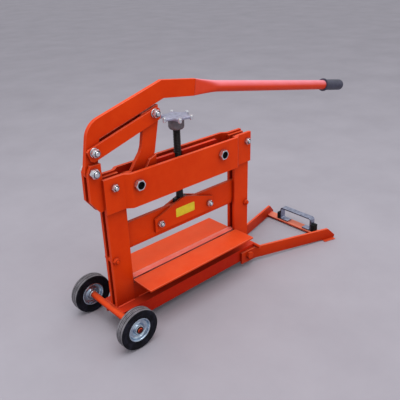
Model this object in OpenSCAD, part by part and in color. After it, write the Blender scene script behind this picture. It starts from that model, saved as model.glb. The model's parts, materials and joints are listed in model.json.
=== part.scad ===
// Masonry block splitter: a wheeled guillotine with a hand lever, a screw-set upper blade and a
// two-armed foot.
// X runs along the machine to the lever's grip, Y to the back, Z up from the floor. Sizes in millimetres.

/* [Frame] */
// clear width between the two columns
span = 434; // [400:1:470]
// width of a column bar
column_w = 65; // [55:1:75]
// thickness of a column bar
column_t = 10; // [8:0.5:12]
// slot between the front and the rear bar of a column
column_gap = 14; // [13:0.5:16]
// height of the column tops
column_top = 480; // [470:1:490]
// overall width of the base channel
base_w = 99; // [90:1:115]
// height of the base channel
base_h = 44.5; // [40:0.5:55]
// wall of the base channel
base_wall = 7; // [5:0.5:9]
// height of the base channel's upper face
base_top = 73; // [68:1:78]
// length of base beyond the right column
base_nose = 3; // [1:0.5:6]

/* [Beams] */
// height of a beam flat
beam_h = 101.5; // [90:0.5:110]
// thickness of a beam flat
beam_t = 10; // [8:0.5:12]
// height of the beams' upper edge
beam_top = 485.5; // [480:0.5:490]
// outward step of the beam between its ends
joggle = 14; // [8:0.5:16]
// length over which the step is made
joggle_run = 18; // [14:1:24]
// height of the two main pivots
pivot_z = 449; // [445:1:453]
// main pivot of the crank, from the left column
crank_x = 31; // [28:1:34]
// main pivot of the pressure bar, from the right column
bar_pivot_back = 80; // [72:1:86]
// diameter of the main pivots
pivot_d = 20; // [18:1:22]

/* [Lever] */
// lever pivot, left of the left column's inner edge
lever_x = -89; // [-92:1:-86]
// lever pivot height
lever_z = 510.5; // [508:0.5:513]
// width of the lever's upright part
upright_w = 39; // [36:1:44]
// width of the lever's flat band
lever_w = 50; // [46:1:54]
// outside diameter of the handle tube
tube_d = 33.7; // [30:0.1:36]
// wall of the handle tube
tube_wall = 3.2; // [2.5:0.1:4]
// length of the round handle tube that shows
tube_len = 555; // [500:1:600]
// fall of the handle tube below level, degrees
handle_fall = 9.5; // [8:0.25:11]
// length of the grip
grip_len = 117; // [95:1:125]
// outside diameter of the grip
grip_d = 40; // [38:0.5:44]

/* [Blade] */
// height of the blade plate
blade_h = 65; // [58:1:72]
// height of the blade plate's upper edge
blade_top = 326.5; // [324:0.5:334]
// length of blade plate that runs inside each column
blade_tongue = 34; // [26:1:38]
// half length of a cheek plate
cheek_half = 119; // [110:1:130]
// thickness of a cheek plate
cheek_t = 8; // [6:0.5:10]
// spindle position, left of the middle between the columns
spindle_back = 9; // [4:1:13]
// spindle diameter
spindle_d = 22; // [20:1:24]
// height of the handwheel hub's lower face
hub_z = 557; // [549:1:562]
// reach of the handwheel's lobes from the spindle
star_r = 46; // [42:1:53]

/* [Tables] */
// height of the table faces
table_z = 143; // [138:1:150]
// depth of the front table to the centre plane
table_front = 101; // [90:1:115]
// depth of the rear table to the centre plane
table_rear_d = 110; // [90:1:115]
// thickness of a table
table_t = 6; // [5:0.5:10]

/* [Wheels] */
// wheel diameter
wheel_d = 125; // [115:1:132]
// wheel width
wheel_w = 32; // [28:1:38]
// distance of a wheel's inner face from the centre plane
wheel_y = 105; // [98:1:115]
// axle diameter between the wheels
axle_d = 20; // [18:1:24]
// axle diameter in the wheels
stub_d = 15; // [12:1:16]
// rim diameter
rim_d = 72; // [66:1:80]

/* [Fork] */
// height of a fork arm's flat
fork_h = 44; // [36:1:46]
// thickness of a fork arm
fork_t = 8; // [6:0.5:10]
// outward turn of the fork arms in plan, degrees
fork_splay = 16; // [12:0.5:20]
// length of the splayed part of an arm
fork_run = 365; // [320:1:390]
// height of the fork pivot
fork_z = 44.5; // [43:0.5:48]
// thickness of a foot pad
foot_t = 3; // [2:0.5:5]

/* [Fits] */
// radial clearance of a running fit
run_fit = 0.05; // [0.02:0.01:0.09]
// radial clearance round a clamped bolt
bolt_fit = 0.25; // [0.1:0.05:0.5]
// side clearance between moving plates
side_gap = 1; // [0.6:0.1:1.4]

/* [Hidden] */
$fn = 96;
eps = 0.01;
paint = [0.75, 0.2, 0.08];
zinc = [0.72, 0.73, 0.76];
dark = [0.08, 0.08, 0.09];
rubber = [0.1, 0.1, 0.1];
plastic = [0.24, 0.24, 0.3];

// planes across the machine
half_gap = column_gap / 2;
column_out = half_gap + column_t;
plate_half = half_gap - side_gap;
link_in = plate_half + side_gap;
link_t = 8;
link_out = link_in + link_t;
beam_in = column_out + joggle;
beam_out = beam_in + beam_t;
bar_half = plate_half - 0.5;
crank_cheek_out = plate_half + cheek_t;

// frame places
right_x = span + column_w;
base_x0 = -column_w;
base_x1 = right_x + base_nose;
base_z0 = base_top - base_h;
column_mid = span / 2;
bolt_end = 3;
clamp_bolt = [12, 18, 7.5, 10];
clamp_inset = 12;
clamp_z = base_top + 158;
end_bolt = [12, 19, 8, 12];
end_bolt_left = -38;
end_bolt_right = span + 47;
end_bolt_z = beam_top - 28;
spacer_d = 22;
beam_left = base_x0 - 4;
beam_right = right_x + 1;
joggle_x = -5;
pivot_nut = [28, 13];
pivot_spacer_d = 34;
joggle_corner = beam_t * tan(atan(joggle / joggle_run) / 2);
ear_left = lever_x - 25;
ear_top = lever_z + 20.5;
ear_foot = lever_z - 117;

// axle and wheels
axle_x = base_x0 - 6;
axle_z = wheel_d / 2;
hub_d = 26;
wheel_mid = wheel_y + wheel_w / 2;
shoulder_y = wheel_y - 1;
hub_in = wheel_y - 0.5;
hub_out = wheel_y + wheel_w - 3;
clip_t = 1.6;
axle_end = hub_out + clip_t + 1.4;

// lever, link and crank pivots, x then z
lever_pin = [lever_x, lever_z];
link_a = lever_pin + [10, 53.5];
link_b = [crank_x + 90, pivot_z + 175.5];
crank_pin_at = [crank_x, pivot_z];
bar_pivot_x = span - bar_pivot_back;
bar_pin_at = [bar_pivot_x, pivot_z];
crank_arm = 70;
crank_dip = 8;
crank_boss_d = 52;
cheek_eye_d = 36;
crank_eye = crank_pin_at + crank_arm * [cos(crank_dip), -sin(crank_dip)];
link_run = link_b - link_a;
link_len = norm(link_run);
link_tilt = atan2(link_run[1], link_run[0]);
lever_bolt_size = [16, 24, 10, 16];
link_bolt = [14, 21, 5, 14];
washer_d = 25;
washer_t = 2.5;
open_play = 2.2;
crank_reach = 110;
eye_pin_d = 14;
eye_play = 1.3;
lever_bend = lever_pin + [250, 171];
lever_end = lever_pin + [369.5, 157];
bend_tilt = atan2(lever_end[1] - lever_bend[1], lever_end[0] - lever_bend[0]);
rise_tilt = atan2(link_a[1] - lever_pin[1], link_a[0] - lever_pin[0]);
top_tilt = 16.2;
shoulder_r = 58;
end_normal = [sin(handle_fall), cos(handle_fall)];
end_up = 22.5;
end_down = 26.5;
flat_len = 100;
tube_end = flat_len + tube_len;
grip_end = tube_end + grip_len;
grip_round = 10;

// pressure bar, nut and spindle
lobe_d = 11;
lobe_len = 15;
spindle_clear = 8;
spindle_least = crank_x + crank_reach + star_r + lobe_d / 2 + spindle_clear;
spindle_x = max(column_mid - spindle_back, spindle_least);
bar_top = pivot_z + 38;
bar_foot = pivot_z - 31;
nut_z = pivot_z - 9;
nut_d = 34;
block_half_x = 26;
block_half_y = beam_in - 5;
block_half_z = 22;
nut_half = block_half_y - 1;
slot_left = spindle_d / 2 + 4;
slot_right = spindle_d / 2 + 3;
hub_len = 32;
handhub_d = 47;
star_t = 8;
star_cover = 2;
spindle_top = hub_z + hub_len + star_t - star_cover - 0.5;
thrust_h = 13.5;
thrust_half_x = 23;
spindle_seat = blade_top + thrust_h + 0.5;
journal_d = 10;
journal_foot = blade_top + 2;
groove_d = journal_d - 3;
groove_z = blade_top + 7.5;
groove_h = 5;
lock_pin_d = 4;

// blades and tables
cheek_foot = blade_top - blade_h - 1;
cheek_shoulder = blade_top - 23;
cheek_apex = 9;
cheek_roof = blade_top + thrust_h;
cheek_bolt = [12, 19, 8, 12];
cheek_bolt_x = cheek_half - 19;
cheek_bolt_z = blade_top - 41;
edge_gap = 2;
edge_h = 20;
edge_land = 2;
edge_bevel = 8;
blade_foot = blade_top - blade_h;
edge_z = blade_foot - edge_h;
carrier_half = column_out - 2;
carrier_top = table_z - 18;
lower_half = carrier_half - 4;
lower_land = 3;
lower_shoulder = table_z;
lower_top = lower_shoulder + 4;
table_gap = 0.5;
front_gap = 0.6;
front_over = 4;
gusset_t = 8;
gusset_foot = carrier_top - 40;
gusset_reach = table_front - 14;
gusset_at = [60, column_mid, span - 60];

// fork
fork_pivot_x = base_x1 - 36;
fork_tail = 36;
fork_bend_x = base_x1 - 2;
fork_in = base_w / 2 + 0.4;
fork_bolt = [16, 24, 10];
fork_flat = 60;
fork_drop = 5;
fork_fall = fork_z - fork_drop - fork_h / 2 - foot_t;
fork_slope = fork_fall / (fork_reach(fork_run - fork_flat) - fork_pivot_x);
stop_d = 12;
stop_x = base_x1 + 3;
stop_z = fork_mid(stop_x) + fork_h / 2 + stop_d / 2 + 0.4;
stop_half = fork_in + fork_t + 20;
cross_back = 53;
cross_x0 = fork_reach(fork_run) - cross_back;
cross_w = 38;
cross_z = foot_t + 3;
cross_t = 6;
bow_x = cross_x0 + 6;
bow_w = 26;
bow_t = 5.5;
bow_half = 76;
bow_h = 54;
bow_foot = 40;
pad_len = 15;
pad_h = 28;

// origin under the middle of the whole length, on the floor
grip_cos = cos(handle_fall);
grip_sin = sin(handle_fall);
grip_tip = (grip_end - grip_round) * grip_cos + (grip_d / 2 - grip_round) * grip_sin + grip_round;
reach_right = lever_end[0] + grip_tip;
reach_left = axle_x - wheel_d / 2;
origin_x = (reach_left + reach_right) / 2;
echo(origin_x = origin_x, length = reach_right - reach_left);

// Shared shapes

// moves machine coordinates to the part's origin
module place() {
    translate([-origin_x, 0, 0])
        children();
}

// a flat outline drawn in x and z, given a thickness from y0 to y1
module side_plate(y0, y1) {
    translate([0, y1, 0])
        rotate([90, 0, 0])
            linear_extrude(y1 - y0)
                children();
}

// a round bar along Y
module cross_rod(at, d, y0, y1) {
    translate([at[0], y0, at[1]])
        rotate([-90, 0, 0])
            cylinder(d = d, h = y1 - y0);
}

// a hexagon bar along Y, flats above and below
module cross_hex(at, flats, y0, y1) {
    translate([at[0], y0, at[1]])
        rotate([-90, 0, 0])
            cylinder(d = flats / cos(30), h = y1 - y0, $fn = 6);
}

// a hexagon bolt along Y, its nut in front and its head at the back
// size holds shank, flats, head height and nut height; front and back are the seats of nut and head
module through_bolt(at, size, front, back) {
    cross_rod(at, size[0], -front - size[3] - bolt_end, back + eps);
    cross_hex(at, size[1], -front - size[3], -front);
    cross_hex(at, size[1], back, back + size[2]);
}

// the shape and its mirror image across the centre plane
module both_sides() {
    children();
    mirror([0, 1, 0])
        children();
}

// points along an arc from angle a0 to angle a1
arc_step = 7.5;
function arc(centre, r, a0, a1) =
    let (n = ceil(abs(a1 - a0) / arc_step))
    [for (i = [0 : n]) let (a = a0 + (a1 - a0) * i / n) centre + r * [cos(a), sin(a)]];

// unit vector to the left of a line at a tilt
function left_of(tilt) = [-sin(tilt), cos(tilt)];

// where a line through p at tilt a crosses a line through q at tilt b
function crossing(p, a, q, b) =
    let (along = ((q - p) * left_of(b)) / sin(a - b))
    p + along * [cos(a), sin(a)];

// Frame

module base_channel() {
    color(paint)
        place()
            difference() {
                translate([base_x0, -base_w / 2, base_z0])
                    cube([base_x1 - base_x0, base_w, base_h]);
                translate([base_x0 - eps, -base_w / 2 + base_wall, base_z0 - eps])
                    cube([base_x1 - base_x0 + 2 * eps, base_w - 2 * base_wall, base_h - base_wall + eps]);
                cross_rod([axle_x, axle_z], axle_d, -base_w, base_w);
                cross_rod([stop_x, stop_z], stop_d, -base_w, base_w);
                cross_rod([fork_pivot_x, fork_z], fork_bolt[0] + 2 * bolt_fit, -base_w, base_w);
            }
}

module axle() {
    color(paint)
        place() {
            cross_rod([axle_x, axle_z], axle_d, -shoulder_y, shoulder_y);
            cross_rod([axle_x, axle_z], stub_d, -axle_end, axle_end);
        }
}

module axle_clips() {
    color(dark)
        place()
            both_sides()
                difference() {
                    cross_rod([axle_x, axle_z], stub_d + 7, hub_out + 0.4, hub_out + 0.4 + clip_t);
                    cross_rod([axle_x, axle_z], stub_d, hub_out, axle_end + 1);
                }
}

// a column bar, its left edge at x, from y0 to y1, bored for its clamp bolt and its beam bolt
module column_bar(x, y0, y1, clamp_x, end_x) {
    color(paint)
        place()
            difference() {
                translate([x, y0, base_top])
                    cube([column_w, y1 - y0, column_top - base_top]);
                cross_rod([clamp_x, clamp_z], clamp_bolt[0] + 2 * bolt_fit, y0 - 1, y1 + 1);
                cross_rod([end_x, end_bolt_z], end_bolt[0] + 2 * bolt_fit, y0 - 1, y1 + 1);
            }
}

module column_left_front() {
    column_bar(-column_w, -column_out, -half_gap, clamp_inset - column_w, end_bolt_left);
}

module column_left_rear() {
    column_bar(-column_w, half_gap, column_out, clamp_inset - column_w, end_bolt_left);
}

module column_right_front() {
    column_bar(span, -column_out, -half_gap, right_x - clamp_inset, end_bolt_right);
}

module column_right_rear() {
    column_bar(span, half_gap, column_out, right_x - clamp_inset, end_bolt_right);
}

module column_spacers() {
    color(paint)
        place() {
            for (x = [clamp_inset - column_w, right_x - clamp_inset])
                difference() {
                    cross_rod([x, clamp_z], spacer_d, -half_gap, half_gap);
                    cross_rod([x, clamp_z], clamp_bolt[0] + 2 * bolt_fit, -column_gap, column_gap);
                }
            for (x = [end_bolt_left, end_bolt_right])
                difference() {
                    cross_rod([x, end_bolt_z], spacer_d + 4, -half_gap, half_gap);
                    cross_rod([x, end_bolt_z], end_bolt[0] + 2 * bolt_fit, -column_gap, column_gap);
                }
        }
}

module column_bolts() {
    color(paint)
        place()
            for (x = [clamp_inset - column_w, right_x - clamp_inset])
                through_bolt([x, clamp_z], clamp_bolt, column_out, column_out);
}

// plan of the rear beam: flat ends on the columns, middle stepped outward
module beam_plan() {
    in_y = column_out;
    out_y = column_out + beam_t;
    j0 = joggle_x;
    j1 = joggle_x + joggle_run;
    polygon([
        [beam_left, in_y], [j0, in_y], [j1, beam_in],
        [span - j1, beam_in], [span - j0, in_y], [beam_right, in_y],
        [beam_right, out_y], [span - j0 + joggle_corner, out_y], [span - j1 + joggle_corner, beam_out],
        [j1 - joggle_corner, beam_out], [j0 - joggle_corner, out_y], [beam_left, out_y]
    ]);
}

module beam_shape() {
    color(paint)
        place()
            difference() {
                translate([0, 0, beam_top - beam_h])
                    linear_extrude(beam_h)
                        beam_plan();
                for (x = [end_bolt_left, end_bolt_right])
                    cross_rod([x, end_bolt_z], end_bolt[0] + 2 * bolt_fit, 0, 2 * beam_out);
                for (at = [crank_pin_at, bar_pin_at])
                    cross_rod(at, pivot_d + 2 * bolt_fit, 0, 2 * beam_out);
            }
}

module beam_rear() {
    beam_shape();
}

module beam_front() {
    mirror([0, 1, 0])
        beam_shape();
}

module beam_bolts() {
    color(zinc)
        place()
            for (x = [end_bolt_left, end_bolt_right])
                through_bolt([x, end_bolt_z], end_bolt, column_out + beam_t, column_out + beam_t);
}

// lever bracket ear, flush with a column bar and welded to its edge
module ear(y0, y1) {
    color(paint)
        place()
            difference() {
                side_plate(y0, y1)
                    polygon([
                        [ear_left + 8, lever_z], [ear_left + 18, ear_top], [-column_w, ear_top],
                        [-column_w, ear_foot + 4], [-column_w - 16, ear_foot], [ear_left + 6, ear_foot + 37]
                    ]);
                cross_rod(lever_pin, lever_bolt_size[0] + 2 * bolt_fit, y0 - 1, y1 + 1);
            }
}

module ear_front() {
    ear(-column_out, -half_gap);
}

module ear_rear() {
    ear(half_gap, column_out);
}

module lever_bolt() {
    color(zinc)
        place()
            through_bolt(lever_pin, lever_bolt_size, column_out, column_out);
}

module pivot_pins() {
    reach = beam_out + pivot_nut[1] / 2;
    color(zinc)
        place()
            for (at = [crank_pin_at, bar_pin_at])
                cross_rod(at, pivot_d, -reach, reach);
}

module pivot_nuts() {
    color(zinc)
        place()
            for (at = [crank_pin_at, bar_pin_at])
                both_sides()
                    difference() {
                        cross_hex(at, pivot_nut[0], beam_out, beam_out + pivot_nut[1]);
                        cross_rod(at, pivot_d, beam_out - 1, beam_out + pivot_nut[1] + 1);
                    }
}

module pivot_spacers() {
    color(paint)
        place()
            both_sides() {
                difference() {
                    cross_rod(crank_pin_at, pivot_spacer_d, crank_cheek_out + side_gap / 2, beam_in);
                    cross_rod(crank_pin_at, pivot_d, 0, beam_out);
                }
                difference() {
                    cross_rod(bar_pin_at, pivot_spacer_d, bar_half + side_gap / 2, beam_in);
                    cross_rod(bar_pin_at, pivot_d, 0, beam_out);
                }
            }
}

module lower_carrier() {
    color(paint)
        place()
            translate([0, -carrier_half, base_top])
                cube([span, 2 * carrier_half, carrier_top - base_top]);
}

module lower_blade() {
    color(paint)
        place()
            rotate([90, 0, 90])
                linear_extrude(span)
                    polygon([
                        [-lower_half, carrier_top], [lower_half, carrier_top], [lower_half, lower_shoulder],
                        [lower_land, lower_top], [-lower_land, lower_top],
                        [-lower_half, lower_shoulder]
                    ]);
}

module table_front_plate() {
    color(paint)
        place()
            translate([0, -table_front, table_z - table_t])
                cube([span + front_over, table_front - column_out - front_gap, table_t]);
}

module table_rear_plate() {
    color(paint)
        place()
            translate([table_gap, lower_half, table_z - table_t])
                cube([span - 2 * table_gap, table_rear_d - lower_half, table_t]);
}

module table_gussets() {
    color(paint)
        place()
            for (x = gusset_at)
                both_sides()
                    translate([x - gusset_t / 2, 0, 0])
                        rotate([90, 0, 90])
                            linear_extrude(gusset_t)
                                polygon([
                                    [carrier_half, gusset_foot], [carrier_half + 12, gusset_foot],
                                    [gusset_reach, table_z - table_t - 8], [gusset_reach, table_z - table_t],
                                    [carrier_half, table_z - table_t]
                                ]);
}

module stop_rod() {
    color(paint)
        place()
            cross_rod([stop_x, stop_z], stop_d, -stop_half, stop_half);
}

module fork_bolts() {
    at = [fork_pivot_x, fork_z];
    inner = base_w / 2 - base_wall;
    outer = fork_in + fork_t + 0.4;
    color(paint)
        place()
            both_sides() {
                cross_rod(at, fork_bolt[0], inner - fork_bolt[2] - 3, outer + eps);
                cross_hex(at, fork_bolt[1], outer, outer + fork_bolt[2]);
                cross_hex(at, fork_bolt[1], inner - fork_bolt[2], inner);
            }
}

// Wheels, drawn about the rear wheel's axis and mirrored for the front

// turns a half profile, drawn as radius and distance along Y, about the axle
module wheel_turning() {
    translate([axle_x, 0, axle_z])
        rotate([-90, 0, 0])
            rotate_extrude()
                children();
}

module tyre_shape() {
    edge = 4;
    color(rubber)
        place()
            wheel_turning()
                polygon([
                    [rim_d / 2, wheel_y + 3], [wheel_d / 2 - edge, wheel_y], [wheel_d / 2, wheel_y + edge],
                    [wheel_d / 2, wheel_y + wheel_w - edge], [wheel_d / 2 - edge, wheel_y + wheel_w],
                    [rim_d / 2, wheel_y + wheel_w - 3]
                ]);
}

module rim_shape() {
    lip = 2.5;
    rim_r = rim_d / 2;
    rim_in = wheel_y + 3;
    rim_out = wheel_y + wheel_w - 3;
    dish_half = 4.5;
    color(zinc)
        place()
            wheel_turning()
                polygon([
                    [rim_r, rim_in - 1], [rim_r, rim_out + 1], [rim_r - lip, rim_out + 1],
                    [rim_r - lip - 1, rim_out - 3], [rim_r - lip - 3, wheel_mid + dish_half],
                    [hub_d / 2, wheel_mid + dish_half + 5], [hub_d / 2, wheel_mid - dish_half - 5],
                    [rim_r - lip - 3, wheel_mid - dish_half], [rim_r - lip - 1, rim_in + 3],
                    [rim_r - lip, rim_in - 1]
                ]);
}

module hub_shape() {
    color(zinc)
        place()
            difference() {
                cross_rod([axle_x, axle_z], hub_d, hub_in, hub_out);
                cross_rod([axle_x, axle_z], stub_d + 2 * run_fit, hub_in - 1, hub_out + 1);
            }
}

module tyre_rear() {
    tyre_shape();
}

module rim_rear() {
    rim_shape();
}

module hub_rear() {
    hub_shape();
}

module tyre_front() {
    mirror([0, 1, 0])
        tyre_shape();
}

module rim_front() {
    mirror([0, 1, 0])
        rim_shape();
}

module hub_front() {
    mirror([0, 1, 0])
        hub_shape();
}

// Lever

// where a line beside the lever's upright meets a line beside its band, each set off to the left
function shoulder_at(rise_off, top_off) =
    crossing(lever_pin + rise_off * left_of(rise_tilt), rise_tilt,
        lever_bend + top_off * left_of(top_tilt), top_tilt);

// a corner of the band at its bend, set off to the left
function bend_at(off) =
    lever_bend + off / cos((top_tilt - bend_tilt) / 2) * left_of((top_tilt + bend_tilt) / 2);

// the lever's outline, once round it: the eye, the outer edge, the end and the inner edge
lever_outline = concat(
    arc(lever_pin, upright_w / 2, rise_tilt - 90, rise_tilt - 270),
    arc(shoulder_at(upright_w / 2 - shoulder_r, lever_w / 2 - shoulder_r), shoulder_r,
        rise_tilt + 90, top_tilt + 90),
    [
        bend_at(lever_w / 2), lever_end + end_up * end_normal, lever_end - end_down * end_normal,
        bend_at(-lever_w / 2), shoulder_at(-upright_w / 2, -lever_w / 2)
    ]
);

module lever_plate() {
    color(paint)
        place()
            difference() {
                side_plate(-plate_half, plate_half)
                    polygon(lever_outline);
                cross_rod(lever_pin, lever_bolt_size[0] + 2 * run_fit, -column_gap, column_gap);
                cross_rod(link_a, link_bolt[0] + 2 * run_fit, -column_gap, column_gap);
            }
}

// local frame at the lever's end: the handle's axis runs along local X
module handle_frame() {
    translate([lever_end[0], 0, lever_end[1]])
        rotate([0, handle_fall, 0])
            children();
}

// the tube, flattened at the lever and opening to the full round
module handle_tube() {
    inner_d = tube_d - 2 * tube_wall;
    tube_stop = grip_end - grip_round - 2;
    color(paint)
        place()
            handle_frame()
                difference() {
                    union() {
                        hull() {
                            translate([0, -plate_half, -end_down])
                                cube([2, 2 * plate_half, end_down + end_up]);
                            translate([flat_len - 1, 0, 0])
                                rotate([0, 90, 0])
                                    cylinder(d = tube_d, h = 1, $fn = 32);
                        }
                        translate([flat_len - 1, 0, 0])
                            rotate([0, 90, 0])
                                cylinder(d = tube_d, h = tube_stop - flat_len + 1);
                    }
                    translate([flat_len + 10, 0, 0])
                        rotate([0, 90, 0])
                            cylinder(d = inner_d, h = tube_stop);
                }
}

// half profile of the grip: a guard ring, the sleeve and a rounded closed end
module grip_profile() {
    guard_w = 3.5;
    guard_t = 7;
    bore_r = tube_d / 2;
    body_r = grip_d / 2;
    sleeve = grip_len - grip_round;
    translate([bore_r, 0])
        square([body_r + guard_w - bore_r, guard_t]);
    translate([bore_r, 0])
        square([body_r - bore_r, sleeve + eps]);
    translate([0, sleeve])
        square([body_r - grip_round, grip_round]);
    translate([body_r - grip_round, sleeve])
        intersection() {
            circle(r = grip_round);
            translate([-eps, 0])
                square(grip_round + eps);
        }
}

module grip() {
    color(plastic)
        place()
            handle_frame()
                translate([tube_end, 0, 0])
                    rotate([0, 90, 0])
                        rotate_extrude()
                            grip_profile();
}

// Link and crank

// one plate of the link, its near end tail beyond the lever's bolt
module link(y0, y1, tail) {
    color(paint)
        place()
            side_plate(y0, y1)
                translate(link_a)
                    rotate(link_tilt)
                        difference() {
                            polygon([
                                [-tail, -18], [8 - tail, -25], [link_len + 9, -25], [link_len + 19, -15],
                                [link_len + 20, 4], [link_len + 13, 11], [6 - tail, 12.5], [-tail, 9]
                            ]);
                            for (u = [0, link_len])
                                translate([u, 0])
                                    circle(d = link_bolt[0] + 2 * bolt_fit);
                        }
}

module link_front() {
    link(-link_out, -link_in, 17);
}

module link_rear() {
    link(link_in, link_out, 11);
}

module link_bolts() {
    color(zinc)
        place()
            for (at = [link_a, link_b])
                through_bolt(at, link_bolt, link_out + washer_t, link_out);
}

module link_washers() {
    color(zinc)
        place()
            for (at = [link_a, link_b])
                difference() {
                    cross_rod(at, washer_d, -link_out - washer_t, -link_out);
                    cross_rod(at, link_bolt[0] + 2 * bolt_fit, -link_out - washer_t - 1, -link_in);
                }
}

// the tall arm of the bell crank, from the link's far end down to the crank's pivot
module crank_plate() {
    color(paint)
        place()
            difference() {
                union() {
                    side_plate(-plate_half, plate_half)
                        translate(crank_pin_at)
                            polygon([
                                [53, 178], [crank_reach, 194], [107, 147], [89, 62], [67, 22], [21, -15],
                                [0, 0], [3, 25], [24, 55], [38, 72], [45, 88], [51.5, 123.5]
                            ]);
                    cross_rod(crank_pin_at, crank_boss_d, -plate_half, plate_half);
                }
                cross_rod(crank_pin_at, pivot_d + 2 * run_fit, -column_gap, column_gap);
                cross_rod(link_b, link_bolt[0] + 2 * open_play, -column_gap, column_gap);
            }
}

// a plate on the crank's side that carries the pressure bar's near end
module crank_cheek(y0, y1) {
    eye = crank_eye - crank_pin_at;
    color(paint)
        place()
            difference() {
                union() {
                    side_plate(y0, y1)
                        translate(crank_pin_at)
                            polygon([
                                [0, 0], [29, 0], [49, 24], [64, 48], [88, 57], [eye[0] + 17, eye[1]],
                                [eye[0], eye[1] - 17], [0, -22]
                            ]);
                    cross_rod(crank_pin_at, crank_boss_d - 4, y0, y1);
                    cross_rod(crank_eye, cheek_eye_d, y0, y1);
                }
                cross_rod(crank_pin_at, pivot_d + 2 * run_fit, y0 - 1, y1 + 1);
                cross_rod(crank_eye, eye_pin_d + 2 * bolt_fit, y0 - 1, y1 + 1);
            }
}

module crank_cheek_front() {
    crank_cheek(-crank_cheek_out, -plate_half);
}

module crank_cheek_rear() {
    crank_cheek(plate_half, crank_cheek_out);
}

module crank_pin() {
    head_t = 5;
    color(zinc)
        place() {
            cross_rod(crank_eye, eye_pin_d, -crank_cheek_out - eps, crank_cheek_out + eps);
            both_sides()
                cross_rod(crank_eye, eye_pin_d + 8, crank_cheek_out, crank_cheek_out + head_t);
        }
}

// Pressure bar, nut and spindle

module pressure_bar() {
    eye_r = 17;
    pivot_r = 22;
    color(paint)
        place()
            difference() {
                union() {
                    side_plate(-bar_half, bar_half) {
                        polygon([
                            crank_eye + [1, eye_r], [crank_x + 83, bar_top], [bar_pivot_x + 10, bar_top],
                            [bar_pivot_x + pivot_r, bar_top - 17], [bar_pivot_x + pivot_r, pivot_z],
                            [bar_pivot_x, pivot_z - pivot_r], [spindle_x + block_half_x, bar_foot],
                            [spindle_x - block_half_x, bar_foot], crank_eye - [0, eye_r]
                        ]);
                        translate(crank_eye)
                            circle(r = eye_r);
                        translate(bar_pin_at)
                            circle(r = pivot_r);
                    }
                    translate([spindle_x - block_half_x, -block_half_y, nut_z - block_half_z])
                        cube(2 * [block_half_x, block_half_y, block_half_z]);
                }
                cross_rod([spindle_x, nut_z], nut_d, -beam_out, beam_out);
                translate([spindle_x - slot_left, -spindle_d / 2 - 1, bar_foot - 10])
                    cube([slot_left + slot_right, spindle_d + 2, bar_top - bar_foot + 20]);
                cross_rod(bar_pin_at, pivot_d + 2 * run_fit, -beam_out, beam_out);
                cross_rod(crank_eye, eye_pin_d + 2 * eye_play, -beam_out, beam_out);
            }
}

module barrel_nut() {
    color(dark)
        place()
            difference() {
                cross_rod([spindle_x, nut_z], nut_d - 2 * run_fit, -nut_half, nut_half);
                translate([spindle_x, 0, nut_z - nut_d])
                    cylinder(d = spindle_d + 2 * run_fit, h = 2 * nut_d);
            }
}

module spindle() {
    color(dark)
        place()
            translate([spindle_x, 0, 0])
                difference() {
                    union() {
                        translate([0, 0, spindle_seat])
                            cylinder(d = spindle_d, h = spindle_top - spindle_seat);
                        translate([0, 0, journal_foot + 0.4])
                            cylinder(d = journal_d, h = spindle_seat - journal_foot);
                    }
                    translate([0, 0, groove_z - groove_h / 2])
                        difference() {
                            cylinder(d = journal_d + 2, h = groove_h);
                            translate([0, 0, -1])
                                cylinder(d = groove_d, h = groove_h + 2);
                        }
                }
}

module handwheel_hub() {
    chamfer = 3;
    color(zinc)
        place()
            translate([spindle_x, 0, hub_z])
                difference() {
                    union() {
                        cylinder(d1 = handhub_d - 2 * chamfer, d2 = handhub_d, h = chamfer);
                        translate([0, 0, chamfer])
                            cylinder(d = handhub_d, h = hub_len - chamfer);
                    }
                    translate([0, 0, -1])
                        cylinder(d = spindle_d, h = hub_len + 2);
                }
}

// six-lobed wheel: a scalloped plate with a stud at each point
module handwheel_star() {
    lobes = 6;
    turn = 4;
    scallop_r = star_r * 0.62;
    scallop_at = star_r * 1.38;
    color(zinc)
        place()
            translate([spindle_x, 0, hub_z + hub_len])
                rotate([0, 0, turn])
                    difference() {
                        union() {
                            linear_extrude(star_t)
                                difference() {
                                    circle(r = star_r);
                                    for (i = [0 : lobes - 1])
                                        rotate((i + 0.5) * 360 / lobes)
                                            translate([scallop_at, 0])
                                                circle(r = scallop_r);
                                }
                            for (i = [0 : lobes - 1])
                                rotate([0, 0, i * 360 / lobes])
                                    translate([star_r, 0, star_t / 2 - lobe_len / 2])
                                        cylinder(d = lobe_d, h = lobe_len);
                        }
                        translate([0, 0, -1])
                            cylinder(d = spindle_d, h = star_t - star_cover + 1);
                    }
}

// Blade

module blade_plate() {
    color(paint)
        place()
            difference() {
                translate([-blade_tongue, -plate_half, blade_foot])
                    cube([span + 2 * blade_tongue, 2 * plate_half, blade_h]);
                for (side = [-1, 1])
                    cross_rod([column_mid + side * cheek_bolt_x, cheek_bolt_z], cheek_bolt[0] + 2 * bolt_fit,
                        -column_gap, column_gap);
            }
}

module upper_blade() {
    color(paint)
        place()
            translate([edge_gap, 0, 0])
                rotate([90, 0, 90])
                    linear_extrude(span - 2 * edge_gap)
                        polygon([
                            [-plate_half, blade_foot], [plate_half, blade_foot],
                            [plate_half, edge_z + edge_bevel], [edge_land, edge_z],
                            [-edge_land, edge_z], [-plate_half, edge_z + edge_bevel]
                        ]);
}

module cheek(y0, y1) {
    color(paint)
        place()
            difference() {
                side_plate(y0, y1)
                    translate([column_mid, 0])
                        polygon([
                            [-cheek_half, cheek_foot], [-cheek_half, cheek_shoulder],
                            [-cheek_apex, cheek_roof], [cheek_apex, cheek_roof],
                            [cheek_half, cheek_shoulder], [cheek_half, cheek_foot]
                        ]);
                for (side = [-1, 1])
                    cross_rod([column_mid + side * cheek_bolt_x, cheek_bolt_z], cheek_bolt[0] + 2 * bolt_fit,
                        y0 - 1, y1 + 1);
            }
}

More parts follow.
